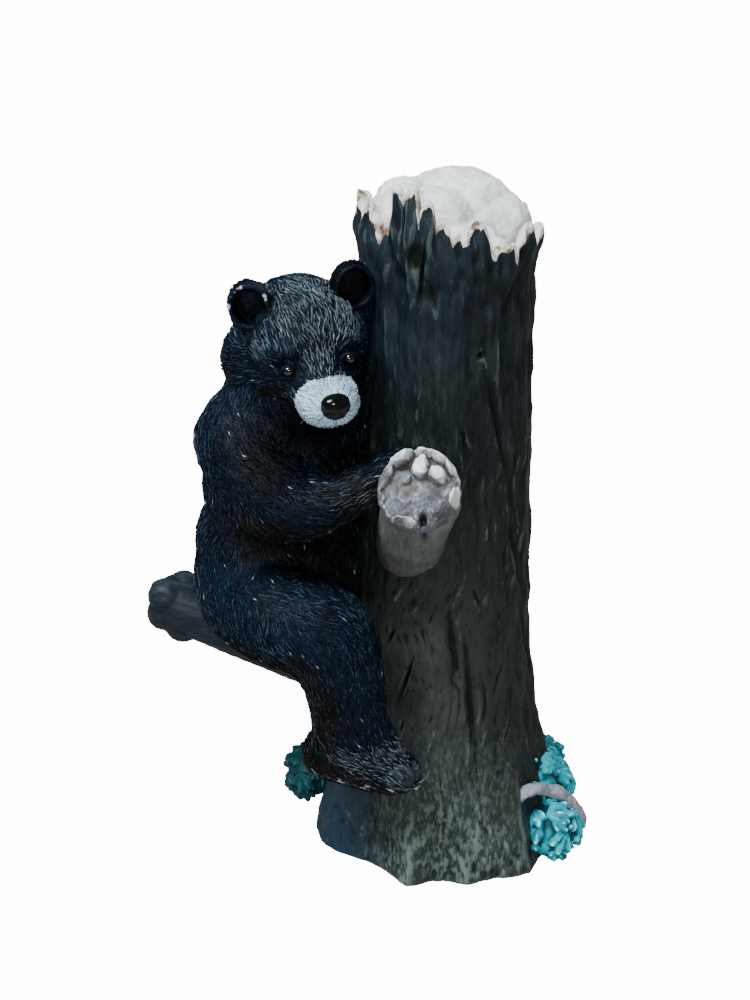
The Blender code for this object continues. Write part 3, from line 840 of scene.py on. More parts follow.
def pine_clump(clay, centre, size, seed):
    """A clump of pine: lobes that overlap like folded cloth, each proud and scalloped at its lower edge."""
    points, faces = FINE_BALL
    height = np.zeros(len(points))
    for k in range(LOBES):
        up = 1 - 2 * (k + 0.5) / LOBES
        angle, flat = 2.4 * k + 0.9 * hash_share(seed + k), math.sqrt(1 - up * up)
        middle = np.array([math.cos(angle) * flat, math.sin(angle) * flat, up])
        lean = np.array([0.7 * math.cos(seed + 2.1 * k), 0.7 * math.sin(seed + 2.1 * k), 1.0])
        root = unit((middle + 0.5 * LOBE_LENGTH * lean)[None])[0]
        across = unit(np.cross(root, middle)[None])[0]
        near = np.flatnonzero(points @ root > 1 - 0.9 * LOBE_LENGTH**2)
        away = points[near] - root
        distance = np.linalg.norm(away, axis=1)
        turn = np.arctan2(away @ across, away @ np.cross(across, root))
        fold = PLEAT_DEPTH * np.cos(PLEATS * turn + 6 * hash_share(seed + k + 80))
        longest = LOBE_LENGTH * (0.85 + 0.4 * hash_share(seed + k + 40))
        length = longest * np.clip(np.cos(1.3 * np.clip(turn, -1.2, 1.2)), 0, 1) ** 0.5 * (1 + fold)
        proud = 0.2 + 0.8 * np.clip(distance / longest, 0, 1) + 1.6 * fold
        lobe = np.sqrt(np.clip((length - distance) / 0.12, 0, 1)) * proud
        height[near] = np.maximum(height[near], lobe)
    clay.take(points * (size * (0.79 + 0.24 * height))[:, None] + np.array(centre), faces)


def round_trunk(degrees, past, up):
    """A point by its angle round the trunk, its distance past the bark and its height, in millimetres."""
    angle, reach = math.radians(degrees), TRUNK_RADIUS + past * MM
    return Vector((reach * math.cos(angle), reach * math.sin(angle), up * MM))


def pine(clay):
    for k, (*place, size) in enumerate(PINE_CLUMPS):
        pine_clump(clay, round_trunk(*place), size * MM, 100 * k)


def twig(clay):
    roll(clay, [(round_trunk(*place), TWIG_RADIUS * size) for *place, size in TWIG_LINE], 40)


def cut_flat(mesh):
    """Cuts a skin off flat at the ground."""
    clay = bmesh.new()
    clay.from_mesh(mesh)
    cut = bmesh.ops.bisect_plane(clay, geom=clay.verts[:] + clay.edges[:] + clay.faces[:], clear_inner=True,
                                 plane_co=(0, 0, 0), plane_no=(0, 0, 1))
    bmesh.ops.contextual_create(clay, geom=[e for e in cut["geom_cut"] if isinstance(e, bmesh.types.BMEdge)])
    bmesh.ops.triangulate(clay, faces=[face for face in clay.faces if len(face.verts) > 4])
    clay.to_mesh(mesh)
    clay.free()


# Paint tools

FLOAT, COLOUR, VECTOR = "NodeSocketFloat", "NodeSocketColor", "NodeSocketVector"


def rgb(red, green, blue):
    return (red, green, blue, 1)


class Palette:
    """A tree of nodes and the coordinates of its patterns. Most calls add a node and give its output."""

    def __init__(self, tree, place=None):
        self.tree, self.place = tree, place

    def feed(self, places, values):
        """Gives each input its value: a number, a colour or an output."""
        for place, value in zip(places, values):
            if isinstance(value, bpy.types.NodeSocket):
                self.tree.links.new(value, place)
            else:
                place.default_value = value

    def add(self, kind, settings=None, **inputs):
        """A node, its settings, and its inputs by name."""
        node = self.tree.nodes.new(kind)
        for name, value in (settings or {}).items():
            setattr(node, name, value)
        self.feed([node.inputs[name.replace("_", " ")] for name in inputs], inputs.values())
        return node

    def listed(self, kind, settings, *values):
        """A node, its settings, and its first inputs in their order."""
        node = self.add(kind, settings)
        self.feed(node.inputs, values)
        return node.outputs[0]

    def sum(self, operation, *terms, clamp=False):
        return self.listed("ShaderNodeMath", {"operation": operation, "use_clamp": clamp}, *terms)

    def times(self, *terms, clamp=False):
        return self.sum("MULTIPLY", *terms, clamp=clamp)

    def less(self, *terms):
        return self.sum("SUBTRACT", *terms)

    def scaled(self, value, share, rest, clamp=False):
        """A value times a share, on top of the rest."""
        return self.sum("MULTIPLY_ADD", value, share, rest, clamp=clamp)

    def ramp(self, *terms):
        """A smooth step of a value between a low and a high one, from 0 to 1 or between two more."""
        return self.listed("ShaderNodeMapRange", {"interpolation_type": "SMOOTHSTEP"}, *terms)

    def moved(self, operation, *terms):
        return self.listed("ShaderNodeVectorMath", {"operation": operation}, *terms)

    def mix(self, share, first, second):
        """Two colours mixed by a share."""
        node = self.add("ShaderNodeMix", {"data_type": "RGBA"})
        self.feed([node.inputs[k] for k in (0, 6, 7)], (share, first, second))
        return node.outputs[2]

    def noise(self, scale, detail=3.0, rough=0.55, place=None):
        place = self.place if place is None else place
        node = self.add("ShaderNodeTexNoise", Vector=place, Scale=scale, Detail=detail, Roughness=rough)
        return node.outputs[0]

    def mottled(self, first, second, low, high, *noise):
        """Two colours in patches of noise."""
        return self.mix(self.ramp(self.noise(*noise), low, high), first, second)

    def kept(self, name, output="Fac"):
        """A value that a skin keeps under a name."""
        return self.add("ShaderNodeAttribute", {"attribute_name": name}).outputs[output]

    def use(self, group, **inputs):
        return self.add("ShaderNodeGroup", {"node_tree": group}, Place=self.place, **inputs).outputs


class Group(Palette):
    """A shared effect: a group of nodes and its inputs by name."""

    def __init__(self, name, numbers=(), colours=(), vectors=()):
        tree = bpy.data.node_groups.new(name, "ShaderNodeTree")
        for kind, labels in ((FLOAT, ("Scale", *numbers)), (COLOUR, colours), (VECTOR, ("Place", *vectors))):
            for label in labels:
                tree.interface.new_socket(label, in_out="INPUT", socket_type=kind)
        self.take = tree.nodes.new("NodeGroupInput").outputs
        super().__init__(tree, self.take["Place"])

    def give(self, **outputs):
        """The finished group, with its outputs by name."""
        for label in outputs:
            kind = COLOUR if label == "Paint" else FLOAT
            self.tree.interface.new_socket(label, in_out="OUTPUT", socket_type=kind)
        end = self.tree.nodes.new("NodeGroupOutput").inputs
        self.feed([end[label] for label in outputs], outputs.values())
        return self.tree


def make_wash():
    """Dark wash that has settled in the hollows."""
    pal = Group("Wash", ("Crest", "Depth", "Amount"), ("Paint", "Wash"))
    take = pal.take
    lowered = pal.scaled(pal.noise(take["Scale"]), 0.35, pal.less(take["Crest"], 0.17))
    share = pal.times(pal.ramp(lowered, 0.0, pal.times(take["Depth"], -1.0)), take["Amount"], clamp=True)
    return pal.give(Paint=pal.mix(share, take["Paint"], take["Wash"]))


def make_drybrush():
    """Pale paint dragged over the crests, broken up by the bristles."""
    pal = Group("Drybrush", ("Crest", "Height", "Amount"), ("Paint", "Brush"))
    take = pal.take
    lifted = pal.scaled(pal.noise(take["Scale"], 4, 0.7), 0.9, pal.less(take["Crest"], 0.45))
    lifted = pal.scaled(pal.noise(110, 2), 0.6, pal.less(lifted, 0.3))
    share = pal.ramp(lifted, take["Height"], pal.sum("ADD", take["Height"], 0.35))
    share = pal.times(share, take["Amount"], clamp=True)
    return pal.give(Paint=pal.mix(share, take["Paint"], take["Brush"]), Share=share)


def make_flecks():
    """Small chips where the paint has come off and the white casting shows."""
    pal = Group("Flecks", ("Rarity", "Crest"), ("Paint", "Bare"))
    take = pal.take
    both = pal.scaled(pal.noise(160, 2), 0.45, pal.times(pal.noise(take["Scale"], 2, 0.5), 0.75))
    both = pal.scaled(take["Crest"], 0.08, both)
    share = pal.ramp(both, take["Rarity"], pal.sum("ADD", take["Rarity"], 0.02))
    return pal.give(Paint=pal.mix(share, take["Paint"], take["Bare"]))


def make_streaks():
    """Fine brushed lines along one direction of the coordinates."""
    pal = Group("Streaks", vectors=("Stretch",))
    drawn = pal.moved("MULTIPLY", pal.place, pal.take["Stretch"])
    return pal.give(Line=pal.noise(pal.take["Scale"], 4, 0.6, drawn), Grain=pal.noise(2600, 3, 0.6))


def make_hairlines():
    """Fine grooves drawn out along the lie of the fur."""
    pal = Group("Hairlines", ("Reach",), vectors=("Lie",))
    take = pal.take
    total = 0.0
    for far in (-1.0, -0.5, 0.0, 0.5, 1.0):
        shift = pal.add("ShaderNodeVectorMath", {"operation": "SCALE"}, Vector=take["Lie"],
                        Scale=pal.times(take["Reach"], far))
        place = pal.moved("ADD", pal.place, shift.outputs[0])
        total = pal.sum("ADD", total, pal.noise(take["Scale"], 1.0, place=place))
    return pal.give(Line=pal.ramp(total, 2.1, 2.9))


WASH, DRYBRUSH, FLECKS = make_wash(), make_drybrush(), make_flecks()
STREAKS, HAIRLINES = make_streaks(), make_hairlines()
# Near black for holes and cracks, and for painted shadow on the torn end
HOLE_AND_SHADE_BLACK = rgb(0.0030, 0.0028, 0.0026)


class Paint(Palette):
    """A paint of its own: a material, its shader, and the coordinates that its patterns read."""

    def __init__(self, name):
        self.material = bpy.data.materials.new(name)
        self.material.use_nodes = True
        tree = self.material.node_tree
        self.shader = tree.nodes["Principled BSDF"].inputs
        super().__init__(tree, tree.nodes.new("ShaderNodeTexCoord").outputs["Object"])

    def washed(self, paint, wash, depth, amount):
        return self.use(WASH, Paint=paint, Wash=wash, Crest=self.kept("crest"), Depth=depth, Amount=amount,
                        Scale=500.0)["Paint"]

    def brushed(self, paint, brush, height, amount, scale):
        """The paint under its dry brushing, and the share that the brush covers."""
        out = self.use(DRYBRUSH, Paint=paint, Brush=brush, Crest=self.kept("crest"), Height=height,
                       Amount=amount, Scale=scale)
        return out["Paint"], out["Share"]

    def flecked(self, paint, bare, rarity, scale):
        out = self.use(FLECKS, Paint=paint, Bare=bare, Rarity=rarity, Scale=scale, Crest=self.kept("crest"))
        return out["Paint"]

    def woven(self, lines, share):
        """Relief of brushed lines, and of grain for the rest."""
        return self.scaled(lines["Line"], share, self.times(lines["Grain"], 1 - share))

    def dry_rough(self, scale, share, least, dry, more):
        """Roughness in patches, and more where the brushing is dry."""
        return self.scaled(dry, more, self.scaled(self.noise(scale), share, least), clamp=True)

    def finish(self, colour, roughness, height, depth, specular):
        relief = self.add("ShaderNodeBump", Height=height, Distance=depth, Strength=1.0).outputs[0]
        names = ("Base Color", "Roughness", "Normal", "Specular IOR Level")
        self.feed([self.shader[name] for name in names], (colour, roughness, relief, specular))
        return self.material


def fur_paint(name, on_strokes):
    """Satin black with navy and brown in it, pale drybrush on the hairs and a white muzzle. The brown and the
    near-black are partly painted shade.
    """
    pal = Paint(name)
    line = pal.use(HAIRLINES, Lie=pal.kept("lie", "Vector"), Scale=3300.0, Reach=0.0008)["Line"]
    crest, brush = pal.kept("ridge" if on_strokes else "crest"), pal.kept("brush")
    # Navy turns brown-black on the brown parts of the fur and, as painted shade, on its undersides
    warm = pal.scaled(pal.noise(90), 0.8, pal.less(pal.kept("warm"), 0.4))
    paint = pal.mix(pal.ramp(warm, 0.25, 0.75), rgb(0.0013, 0.0066, 0.0180), rgb(0.0050, 0.0041, 0.0029))
    paint = pal.mottled(paint, rgb(0.0007, 0.0012, 0.0020), 0.45, 0.80, 200)
    paint = pal.mix(pal.ramp(line, 0.35, 0.0, 0.0, 0.6), paint, rgb(0.0005, 0.0008, 0.0012))
    if not on_strokes:
        paint = pal.mix(pal.ramp(brush, 0.3, 0.8, 0.0, 0.7), paint, rgb(0.0008, 0.0016, 0.0026))
    pale = pal.mix(pal.ramp(brush, 0.4, 0.9), rgb(0.044, 0.080, 0.116), rgb(0.160, 0.212, 0.238))
    picked = pal.scaled(line, 0.5, pal.less(brush, 0.25))
    if on_strokes:
        tint = pal.kept("tint")
        picked = pal.scaled(tint, 1.15, pal.less(picked, 0.36))
    dragged = pal.times(pal.ramp(pal.noise(1300), 0.3, 0.65, 0.45, 1.0), 1.0 if on_strokes else 0.22)
    dry = pal.times(pal.times(pal.ramp(picked, 0.42, 1.0), pal.ramp(crest, -0.1, 0.7)), dragged)
    paint = pal.mix(dry, paint, pale)
    # Near-black: painted shade on the chest, the belly and under the arms, and the dark of the ear cups, eye
    # surrounds and lower cheeks
    paint = pal.mix(pal.kept("deep"), paint, rgb(0.0004, 0.0006, 0.0009))
    ragged = pal.scaled(line, 0.4, pal.scaled(pal.kept("muzzle"), 1.8, -0.6))
    if on_strokes:
        ragged = pal.scaled(tint, 0.7, pal.less(ragged, 0.35))
        tip = pal.times(pal.ramp(pal.kept("reach"), -0.1, 0.05), pal.ramp(crest, 0.2, 0.6))
        chosen = pal.ramp(pal.scaled(brush, 0.010, tint), 0.989, 0.993)
        paint = pal.mix(pal.times(tip, chosen), paint, rgb(0.45, 0.53, 0.58))
    else:
        paint = pal.flecked(paint, rgb(0.5, 0.56, 0.6), 0.87, 900.0)
    chips = pal.scaled(pal.noise(700, 3, 0.6), 0.9, pal.less(pal.kept("worn"), 0.9))
    paint = pal.mix(pal.ramp(chips, 0.0, 0.12), paint, rgb(0.40, 0.46, 0.50))
    shade = pal.scaled(pal.noise(300), 0.5, pal.times(line, 0.75))
    white = pal.mix(pal.ramp(shade, 0.28, 0.82), rgb(0.12, 0.21, 0.32), rgb(0.55, 0.73, 0.87))
    paint = pal.mix(pal.ramp(ragged, 0.36, 0.64), paint, white)
    return pal.finish(paint, pal.dry_rough(500, 0.22, 0.25, dry, 0.25), line, 0.00009, 0.10)


def bark_paint():
    """Dark slate grey, near black in its cuts, worn pale low at the front, blue low on the left as painted
    cool light, white and tan where torn.
    """
    pal = Paint("bark_slate")
    low, high, blue = pal.kept("low"), pal.kept("high"), pal.kept("blue")
    lines = pal.use(STREAKS, Stretch=(1.0, 1.0, 0.14), Scale=1300.0)
    paint = pal.mottled(rgb(0.0013, 0.0038, 0.0040), rgb(0.0058, 0.0100, 0.0094), 0.40, 0.62, 60)
    knee = pal.times(pal.kept("mid"), pal.ramp(pal.noise(110, 4), 0.3, 0.6, 0.4, 1.0))
    slate = pal.times(high, pal.ramp(pal.noise(150), 0.3, 0.6))
    drawn = pal.times(pal.ramp(lines["Line"], 0.5, 0.74, 0.0, 0.8), pal.scaled(high, -0.65, 1.0))
    # The blue is painted cool light on the roots at the left, with a little slate blue near the top
    for share, colour in (
        (knee, (0.0340, 0.0400, 0.0360)), (low, (0.021, 0.034, 0.031)), (slate, (0.0058, 0.0112, 0.0150)),
        (blue, (0.005, 0.022, 0.044)), (drawn, (0.024, 0.034, 0.035)),
    ):
        paint = pal.mix(share, paint, rgb(*colour))
    paint = pal.washed(paint, rgb(0.0020, 0.0027, 0.0030), 0.5, 0.9)
    height = pal.scaled(low, -0.3, 0.38)
    paint, dry = pal.brushed(paint, rgb(0.120, 0.155, 0.148), height, pal.kept("brush"), 900.0)
    dabs = pal.less(pal.use(STREAKS, Stretch=(1.0, 0.7, 0.35), Scale=1500.0)["Line"], 0.35)
    dabs = pal.times(pal.ramp(pal.scaled(pal.noise(330, 4, 0.65), 0.7, dabs), 0.44, 0.70), low)
    dabs = pal.times(dabs, pal.less(0.9, blue), clamp=True)
    paint = pal.mix(dabs, paint, rgb(0.120, 0.160, 0.150))
    paint = pal.mix(pal.ramp(pal.kept("crack"), 0.25, 0.7), paint, rgb(0.0010, 0.0012, 0.0013))
    stain = pal.mottled(rgb(0.74, 0.74, 0.68), rgb(0.16, 0.10, 0.055), 0.44, 0.62, 330, 4)
    torn = pal.scaled(pal.noise(420, 4, 0.65), 1.1, pal.less(pal.kept("torn"), 0.55))
    paint = pal.mix(pal.ramp(torn, 0.5, 0.62), paint, stain)
    paint = pal.flecked(paint, rgb(0.4, 0.43, 0.4), 0.89, 700.0)
    return pal.finish(paint, pal.dry_rough(300, 0.3, 0.36, dry, 0.2), pal.woven(lines, 0.75), 0.0004, 0.22)


def branch_paint(name, pale, dark, brush, amount, stretch):
    """Brushed grey for a branch, dark in its hollows and pale on its crests."""
    pal = Paint(name)
    lines = pal.use(STREAKS, Stretch=stretch, Scale=800.0)
    paint = pal.mottled(rgb(*pale), rgb(*dark), 0.35, 0.65, 120)
    paint = pal.mix(pal.ramp(lines["Line"], 0.45, 0.75, 0.0, 0.6), paint, rgb(*brush))
    paint = pal.washed(paint, rgb(0.004, 0.005, 0.006), 0.45, 0.85)
    paint, dry = pal.brushed(paint, rgb(*brush), 0.3, amount, 700.0)
    paint = pal.mix(pal.kept("dark"), pal.flecked(paint, rgb(0.5, 0.5, 0.48), 0.88, 600.0), HOLE_AND_SHADE_BLACK)
    return pal.finish(paint, pal.dry_rough(300, 0.3, 0.36, dry, 0.2), pal.woven(lines, 0.75), 0.0002, 0.25)


def white_paint(name, bright, shade, stain, stain_and_shade_share):
    """White paint with painted grey shade on its low parts, and in its hollows and cracks both stains that
    have run in and painted shade.
    """
    pal = Paint(name)
    grey = pal.kept("grey")
    paint = pal.mottled(rgb(*shade), rgb(*bright), 0.32, 0.68, 260, 4, 0.6)
    tan = pal.ramp(pal.noise(330), 0.54, 0.66, 0.0, 0.8)
    # Painted shade: mottled grey and tan where the skin is marked grey
    worn = pal.mix(tan, rgb(0.100, 0.113, 0.132), rgb(0.085, 0.066, 0.045))
    paint = pal.mix(grey, paint, pal.mottled(worn, rgb(0.27, 0.31, 0.36), 0.54, 0.68, 420, 4, 0.7))
    marks = pal.ramp(pal.noise(240), 0.52, 0.66)
    # The stain is strongest in the hollows, where it is also painted shade
    share = pal.scaled(marks, 0.45, pal.ramp(pal.kept("hollow"), 0.02, 0.55))
    paint = pal.mix(pal.times(share, stain_and_shade_share, clamp=True), paint, rgb(*stain))
    clear = pal.less(1.0, pal.times(grey, 0.75))
    paint, _ = pal.brushed(paint, rgb(0.86, 0.87, 0.86), 0.12, clear, 700.0)
    paint = pal.mix(pal.kept("dark"), paint, HOLE_AND_SHADE_BLACK)
    lines = pal.use(STREAKS, Stretch=(1.0, 1.0, 0.5), Scale=900.0)
    return pal.finish(paint, pal.scaled(pal.noise(400), 0.25, 0.42), pal.woven(lines, 0.6), 0.00022, 0.4)


def pine_paint():
    """Turquoise, deep teal between the pleats and almost white on their worn edges, darker as painted shade
    on the clumps to the left.
    """
    pal = Paint("pine_turquoise")
    far = pal.kept("far")
    paint = pal.mottled(rgb(0.0, 0.23, 0.30), rgb(0.0, 0.44, 0.53), 0.35, 0.65, 170)
    # Painted shade: the clumps to the left are darker teal and get less pale brushing
    paint = pal.mix(far, paint, rgb(0.0, 0.040, 0.050))
    paint = pal.mix(pal.ramp(pal.kept("hollow"), 0.0, 0.6, 0.0, 0.92), paint, rgb(0.0, 0.018, 0.026))
    paint, _ = pal.brushed(paint, rgb(0.32, 0.90, 0.94), 0.48, pal.less(1.0, pal.times(far, 0.94)), 800.0)
    lines = pal.use(STREAKS, Stretch=(1.0, 1.0, 1.0), Scale=900.0)
    return pal.finish(paint, pal.scaled(pal.noise(500), 0.25, 0.36), pal.woven(lines, 0.6), 0.0002, 0.2)


def gloss_paint(name, shine, least):
    """Glossy black of the nose or of the eyes."""
    pal = Paint(name)
    paint = pal.mottled(rgb(0.0018, 0.0020, 0.0022), rgb(0.0045, 0.0048, 0.0052), 0.4, 0.7, 600)
    return pal.finish(paint, pal.scaled(pal.noise(900), 0.10, least), pal.noise(1500), 0.000008, shine)


# Strokes of carved hair

def stroke_tree():
    """Thin bent strokes set along the lie of a skin, each with its own length, bend and tint."""
    tree = bpy.data.node_groups.new("Fur strokes", "GeometryNodeTree")
    for label, kind in (("Skin", "Geometry"), ("Spacing", "Float"), ("Crowding", "Float"),
                        ("Length", "Float"), ("Width", "Float"), ("Proud", "Float"), ("Lift", "Float"),
                        ("Seed", "Int"), ("Paint", "Material")):
        tree.interface.new_socket(label, in_out="INPUT", socket_type="NodeSocket" + kind)
    tree.interface.new_socket("Strokes", in_out="OUTPUT", socket_type="NodeSocketGeometry")
    take = tree.nodes.new("NodeGroupInput").outputs
    pal = Palette(tree)

    def step(kind, settings=None, **inputs):
        return pal.add(kind, settings, **inputs).outputs[0]

    def attribute(name, kind="FLOAT"):
        return step("GeometryNodeInputNamedAttribute", {"data_type": kind}, Name=name)

    def noted(geometry, name, value, domain="POINT"):
        settings = {"data_type": "FLOAT", "domain": domain}
        return step("GeometryNodeStoreNamedAttribute", settings, Geometry=geometry, Name=name, Value=value)

    def chance(low, high, seed):
        node = pal.add("FunctionNodeRandomValue", {"data_type": "FLOAT"}, Seed=seed)
        pal.feed(node.inputs[2:4], (low, high))
        return node.outputs[1]

    spots = pal.add("GeometryNodeDistributePointsOnFaces", {"distribute_method": "POISSON"},
                    Mesh=take["Skin"], Seed=take["Seed"], Distance_Min=take["Spacing"],
                    Density_Max=take["Crowding"], Density_Factor=attribute("furred"))
    lay = step("FunctionNodeAlignRotationToVector", {"axis": "X"}, Vector=attribute("lie", "FLOAT_VECTOR"))
    lay = step("FunctionNodeAlignRotationToVector", {"axis": "Z", "pivot_axis": "X"}, Rotation=lay,
               Vector=spots.outputs["Normal"])
    tip_up = step("ShaderNodeCombineXYZ", Y=pal.times(take["Lift"], chance(-1.4, -0.2, 5)),
                  Z=chance(-0.3, 0.3, 6))
    lay = pal.listed("FunctionNodeRotateRotation", {"rotation_space": "LOCAL"}, lay,
                     step("FunctionNodeEulerToRotation", Euler=tip_up))
    length = pal.times(pal.times(take["Length"], attribute("pile")), chance(0.65, 1.35, 1))
    size = step("ShaderNodeCombineXYZ", X=length, Y=pal.times(take["Width"], chance(0.7, 1.3, 2)),
                Z=pal.times(take["Proud"], chance(0.6, 1.4, 3)))

    share = tree.nodes.new("GeometryNodeSplineParameter").outputs["Factor"]
    taper = pal.sum("POWER", pal.times(pal.times(share, pal.less(1.0, share)), 4.0), 0.7)
    outline = step("GeometryNodeCurvePrimitiveCircle", Resolution=3, Radius=1.0)
    kinds = tree.nodes.new("GeometryNodeJoinGeometry")
    for bend in (-0.34, -0.12, 0.14, 0.36):
        line = step("GeometryNodeCurveQuadraticBezier", Resolution=3, Start=(-0.5, 0, 0),
                    Middle=(0.05, bend, 0.0), End=(0.5, -0.4 * bend, 0))
        line = step("GeometryNodeSetCurveNormal", {"mode": "Z_UP"}, Curve=line)
        line = step("GeometryNodeSetCurveRadius", Curve=line, Radius=taper)
        one = step("GeometryNodeCurveToMesh", Curve=line, Profile_Curve=outline, Scale=taper)
        one = step("GeometryNodeMergeByDistance", Geometry=one, Distance=0.004)
        place = step("GeometryNodeInputPosition")
        height = pal.add("ShaderNodeSeparateXYZ", Vector=place).outputs
        one = noted(noted(one, "ridge", height["Z"]), "reach", height["X"])
        tree.links.new(pal.listed("GeometryNodeGeometryToInstance", {}, one), kinds.inputs[0])
    pick = pal.add("FunctionNodeRandomValue", {"data_type": "INT"}, Seed=4)
    pal.feed(pick.inputs[4:6], (0, 3))
    done = step("GeometryNodeInstanceOnPoints", Points=spots.outputs["Points"], Instance=kinds.outputs[0],
                Pick_Instance=True, Instance_Index=pick.outputs[2], Rotation=lay, Scale=size)
    done = step("GeometryNodeRealizeInstances", Geometry=noted(done, "tint", chance(0.0, 1.0, 7), "INSTANCE"))
    done = step("GeometryNodeSetMaterial", Geometry=done, Material=take["Paint"])
    done = step("GeometryNodeSetShadeSmooth", Geometry=done)
    tree.links.new(done, tree.nodes.new("NodeGroupOutput").inputs["Strokes"])
    return tree


def strokes(name, skin, paint, tree, spacing, length, lift, seed):
    """The strokes over a skin, as a plain mesh."""
    lump = in_scene(name, skin)
    grow = lump.modifiers.new("Strokes", "NODES")
    grow.node_group = tree
    values = {"Spacing": spacing, "Crowding": 0.9 / spacing**2, "Length": length, "Width": STROKE_WIDTH,
              "Proud": STROKE_PROUD, "Lift": lift, "Seed": seed, "Paint": paint}
    for place in tree.interface.items_tree:
        if place.item_type == "SOCKET" and place.in_out == "INPUT" and place.name in values:
            grow[place.identifier] = values[place.name]
    return settled(lump)


# Pieces

def piece(name, mesh, paint):
    """A finished piece of the casting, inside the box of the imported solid."""
    move_to(mesh, np.clip(points_of(mesh), *np.array(cad_box)))
    mesh.name = name
    mesh.materials.clear()
    mesh.materials.append(paint)
    mesh.shade_smooth()
    obj = in_scene(name, mesh)
    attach(obj, "root")
    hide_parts(NODE)


def body_skin():
    skin = fuse(whole_body, 0.36 * MM, 2)
    tell = np.clip((trunk_gap(points_of(skin)) + 1 * MM) / (1.5 * MM), 0.2, 1)
    carve_fur(skin, body_lie, 0.20 * MM, 0.08 * MM, tell)
    skin = thinned(skin, 150000)
    points, normals = points_of(skin), normals_of(skin)
    x, y, z = ((points - np.array(cub(0, 0, 0))) / MM).T
    upright = normals[:, 2]
    belly = bump(z, 30, 14) * bump(x, 17, 9) * rise(y, 0, -10) * rise(y, -22, -16)
    calf = bump(z, -1, 12) * rise(x, 21, 14)
    arm = bump(x, 4, 9) * bump(z, 52, 8) * rise(y, 0, -6)
    sole = rise(z + 0.22 * (x - 14), -10.5, -12.5) * rise(x, 31, 23)
    foot = rise(z, -4, -9) * rise(x, 14, 20) * np.clip(1.3 * upright + 1.1, 0, 1)
    forearm = bump(x, 22, 9) * bump(z, 45, 5) * rise(y, 0, -12)
    chest = bump(x, 14, 8) * bump(z, 56, 9) * rise(y, 0, -10)
    flank = bump(x, 2, 10) * bump(z, 33, 9)
    toes = rise(x, 29.5, 31.5) * (z < 0)
    edge = bump(upright, -0.42, 0.16) * rise(z, -13, -15)
    # Brown-black tint: the fur's own brown on the belly, calf, sole, forearm and flank, and painted shade on
    # the surfaces that face down
    warm = belly + calf + sole + 0.8 * np.clip(-1.3 * upright - 0.1, 0, 1) + 0.85 * forearm + 0.75 * flank
    brush = 0.25 + 0.95 * foot + 0.4 * forearm + 0.3 * grain(points, 7 * MM, 77) - 0.3 * belly - 0.6 * sole
    # Painted shade: near-black on the chest under the chin, the belly, under the arm, at the flank and on the
    # calf
    deep = 0.6 * chest + 0.6 * belly + 0.9 * arm + 0.2 * calf + 0.35 * flank
    worn = 0.52 * edge + 0.45 * toes * np.clip(crests(skin, 10, 0.3 * MM), 0, 1)
    buried = (trunk_gap(points) < BURIED) | (points[:, 2] < 0.5 * MM)
    # The chest's lessened pale brushing is painted shade under the chin
    keep(skin, lie=along_surface(body_lie(points), normals), crest=crests(skin, 4, 0.10 * MM), muzzle=0 * x,
         warm=np.clip(warm, 0, 1), brush=np.clip(brush - 0.35 * chest, 0.02, 1), deep=np.clip(deep, 0, 0.85),
         worn=np.clip(worn, 0, 1), furred=np.where(buried, 0, 1 - 0.85 * toes - 0.4 * sole),
         pile=np.clip(1 - 0.3 * foot - 0.3 * toes + 0.15 * grain(points, 6 * MM, 78), 0.4, 1.3))
    return skin


def ear_rings(points):
    """For each ear, how far points are from its middle as a share of its size, and how far forward of it."""
    place = head_places(points)
    for side in (-1, 1):
        cup = (place - np.array(ear_root(side))) @ np.array(ear_turn(side))[:3, :3]
        yield np.hypot(cup[:, 0] / 4.1, cup[:, 2] / 4.5), cup[:, 1]


def eye_gaps(x, y, z):
    """How far places of the head are from the middle of each eye."""
    return [np.sqrt((x - EYE[0] * side) ** 2 + (y - EYE[1]) ** 2 + (z - EYE[2]) ** 2) for side in (-1, 1)]


def face_marks(points):
    """Shares of the white muzzle, of the ears and of the eyes' surrounds at points of the head."""
    x, y, z = head_places(points).T
    edge = 15.85 - 0.10 * np.clip(np.abs(x), 0, 6) ** 1.2 + 0.5 * np.clip(z, 0, 6)
    white = np.clip((y - edge) / 2.4 + 0.5, 0, 1) * (z > -12)
    in_ear = [(ring < 1.05) & (far > 0.2 - 2.0 * (ring < 0.75)) & (far < 3.2)
              for ring, far in ear_rings(points)]
    near_eye = rise(np.min(eye_gaps(x, y, z), 0), 2.9, 1.9)
    return white, np.max(in_ear, 0).astype(float), near_eye


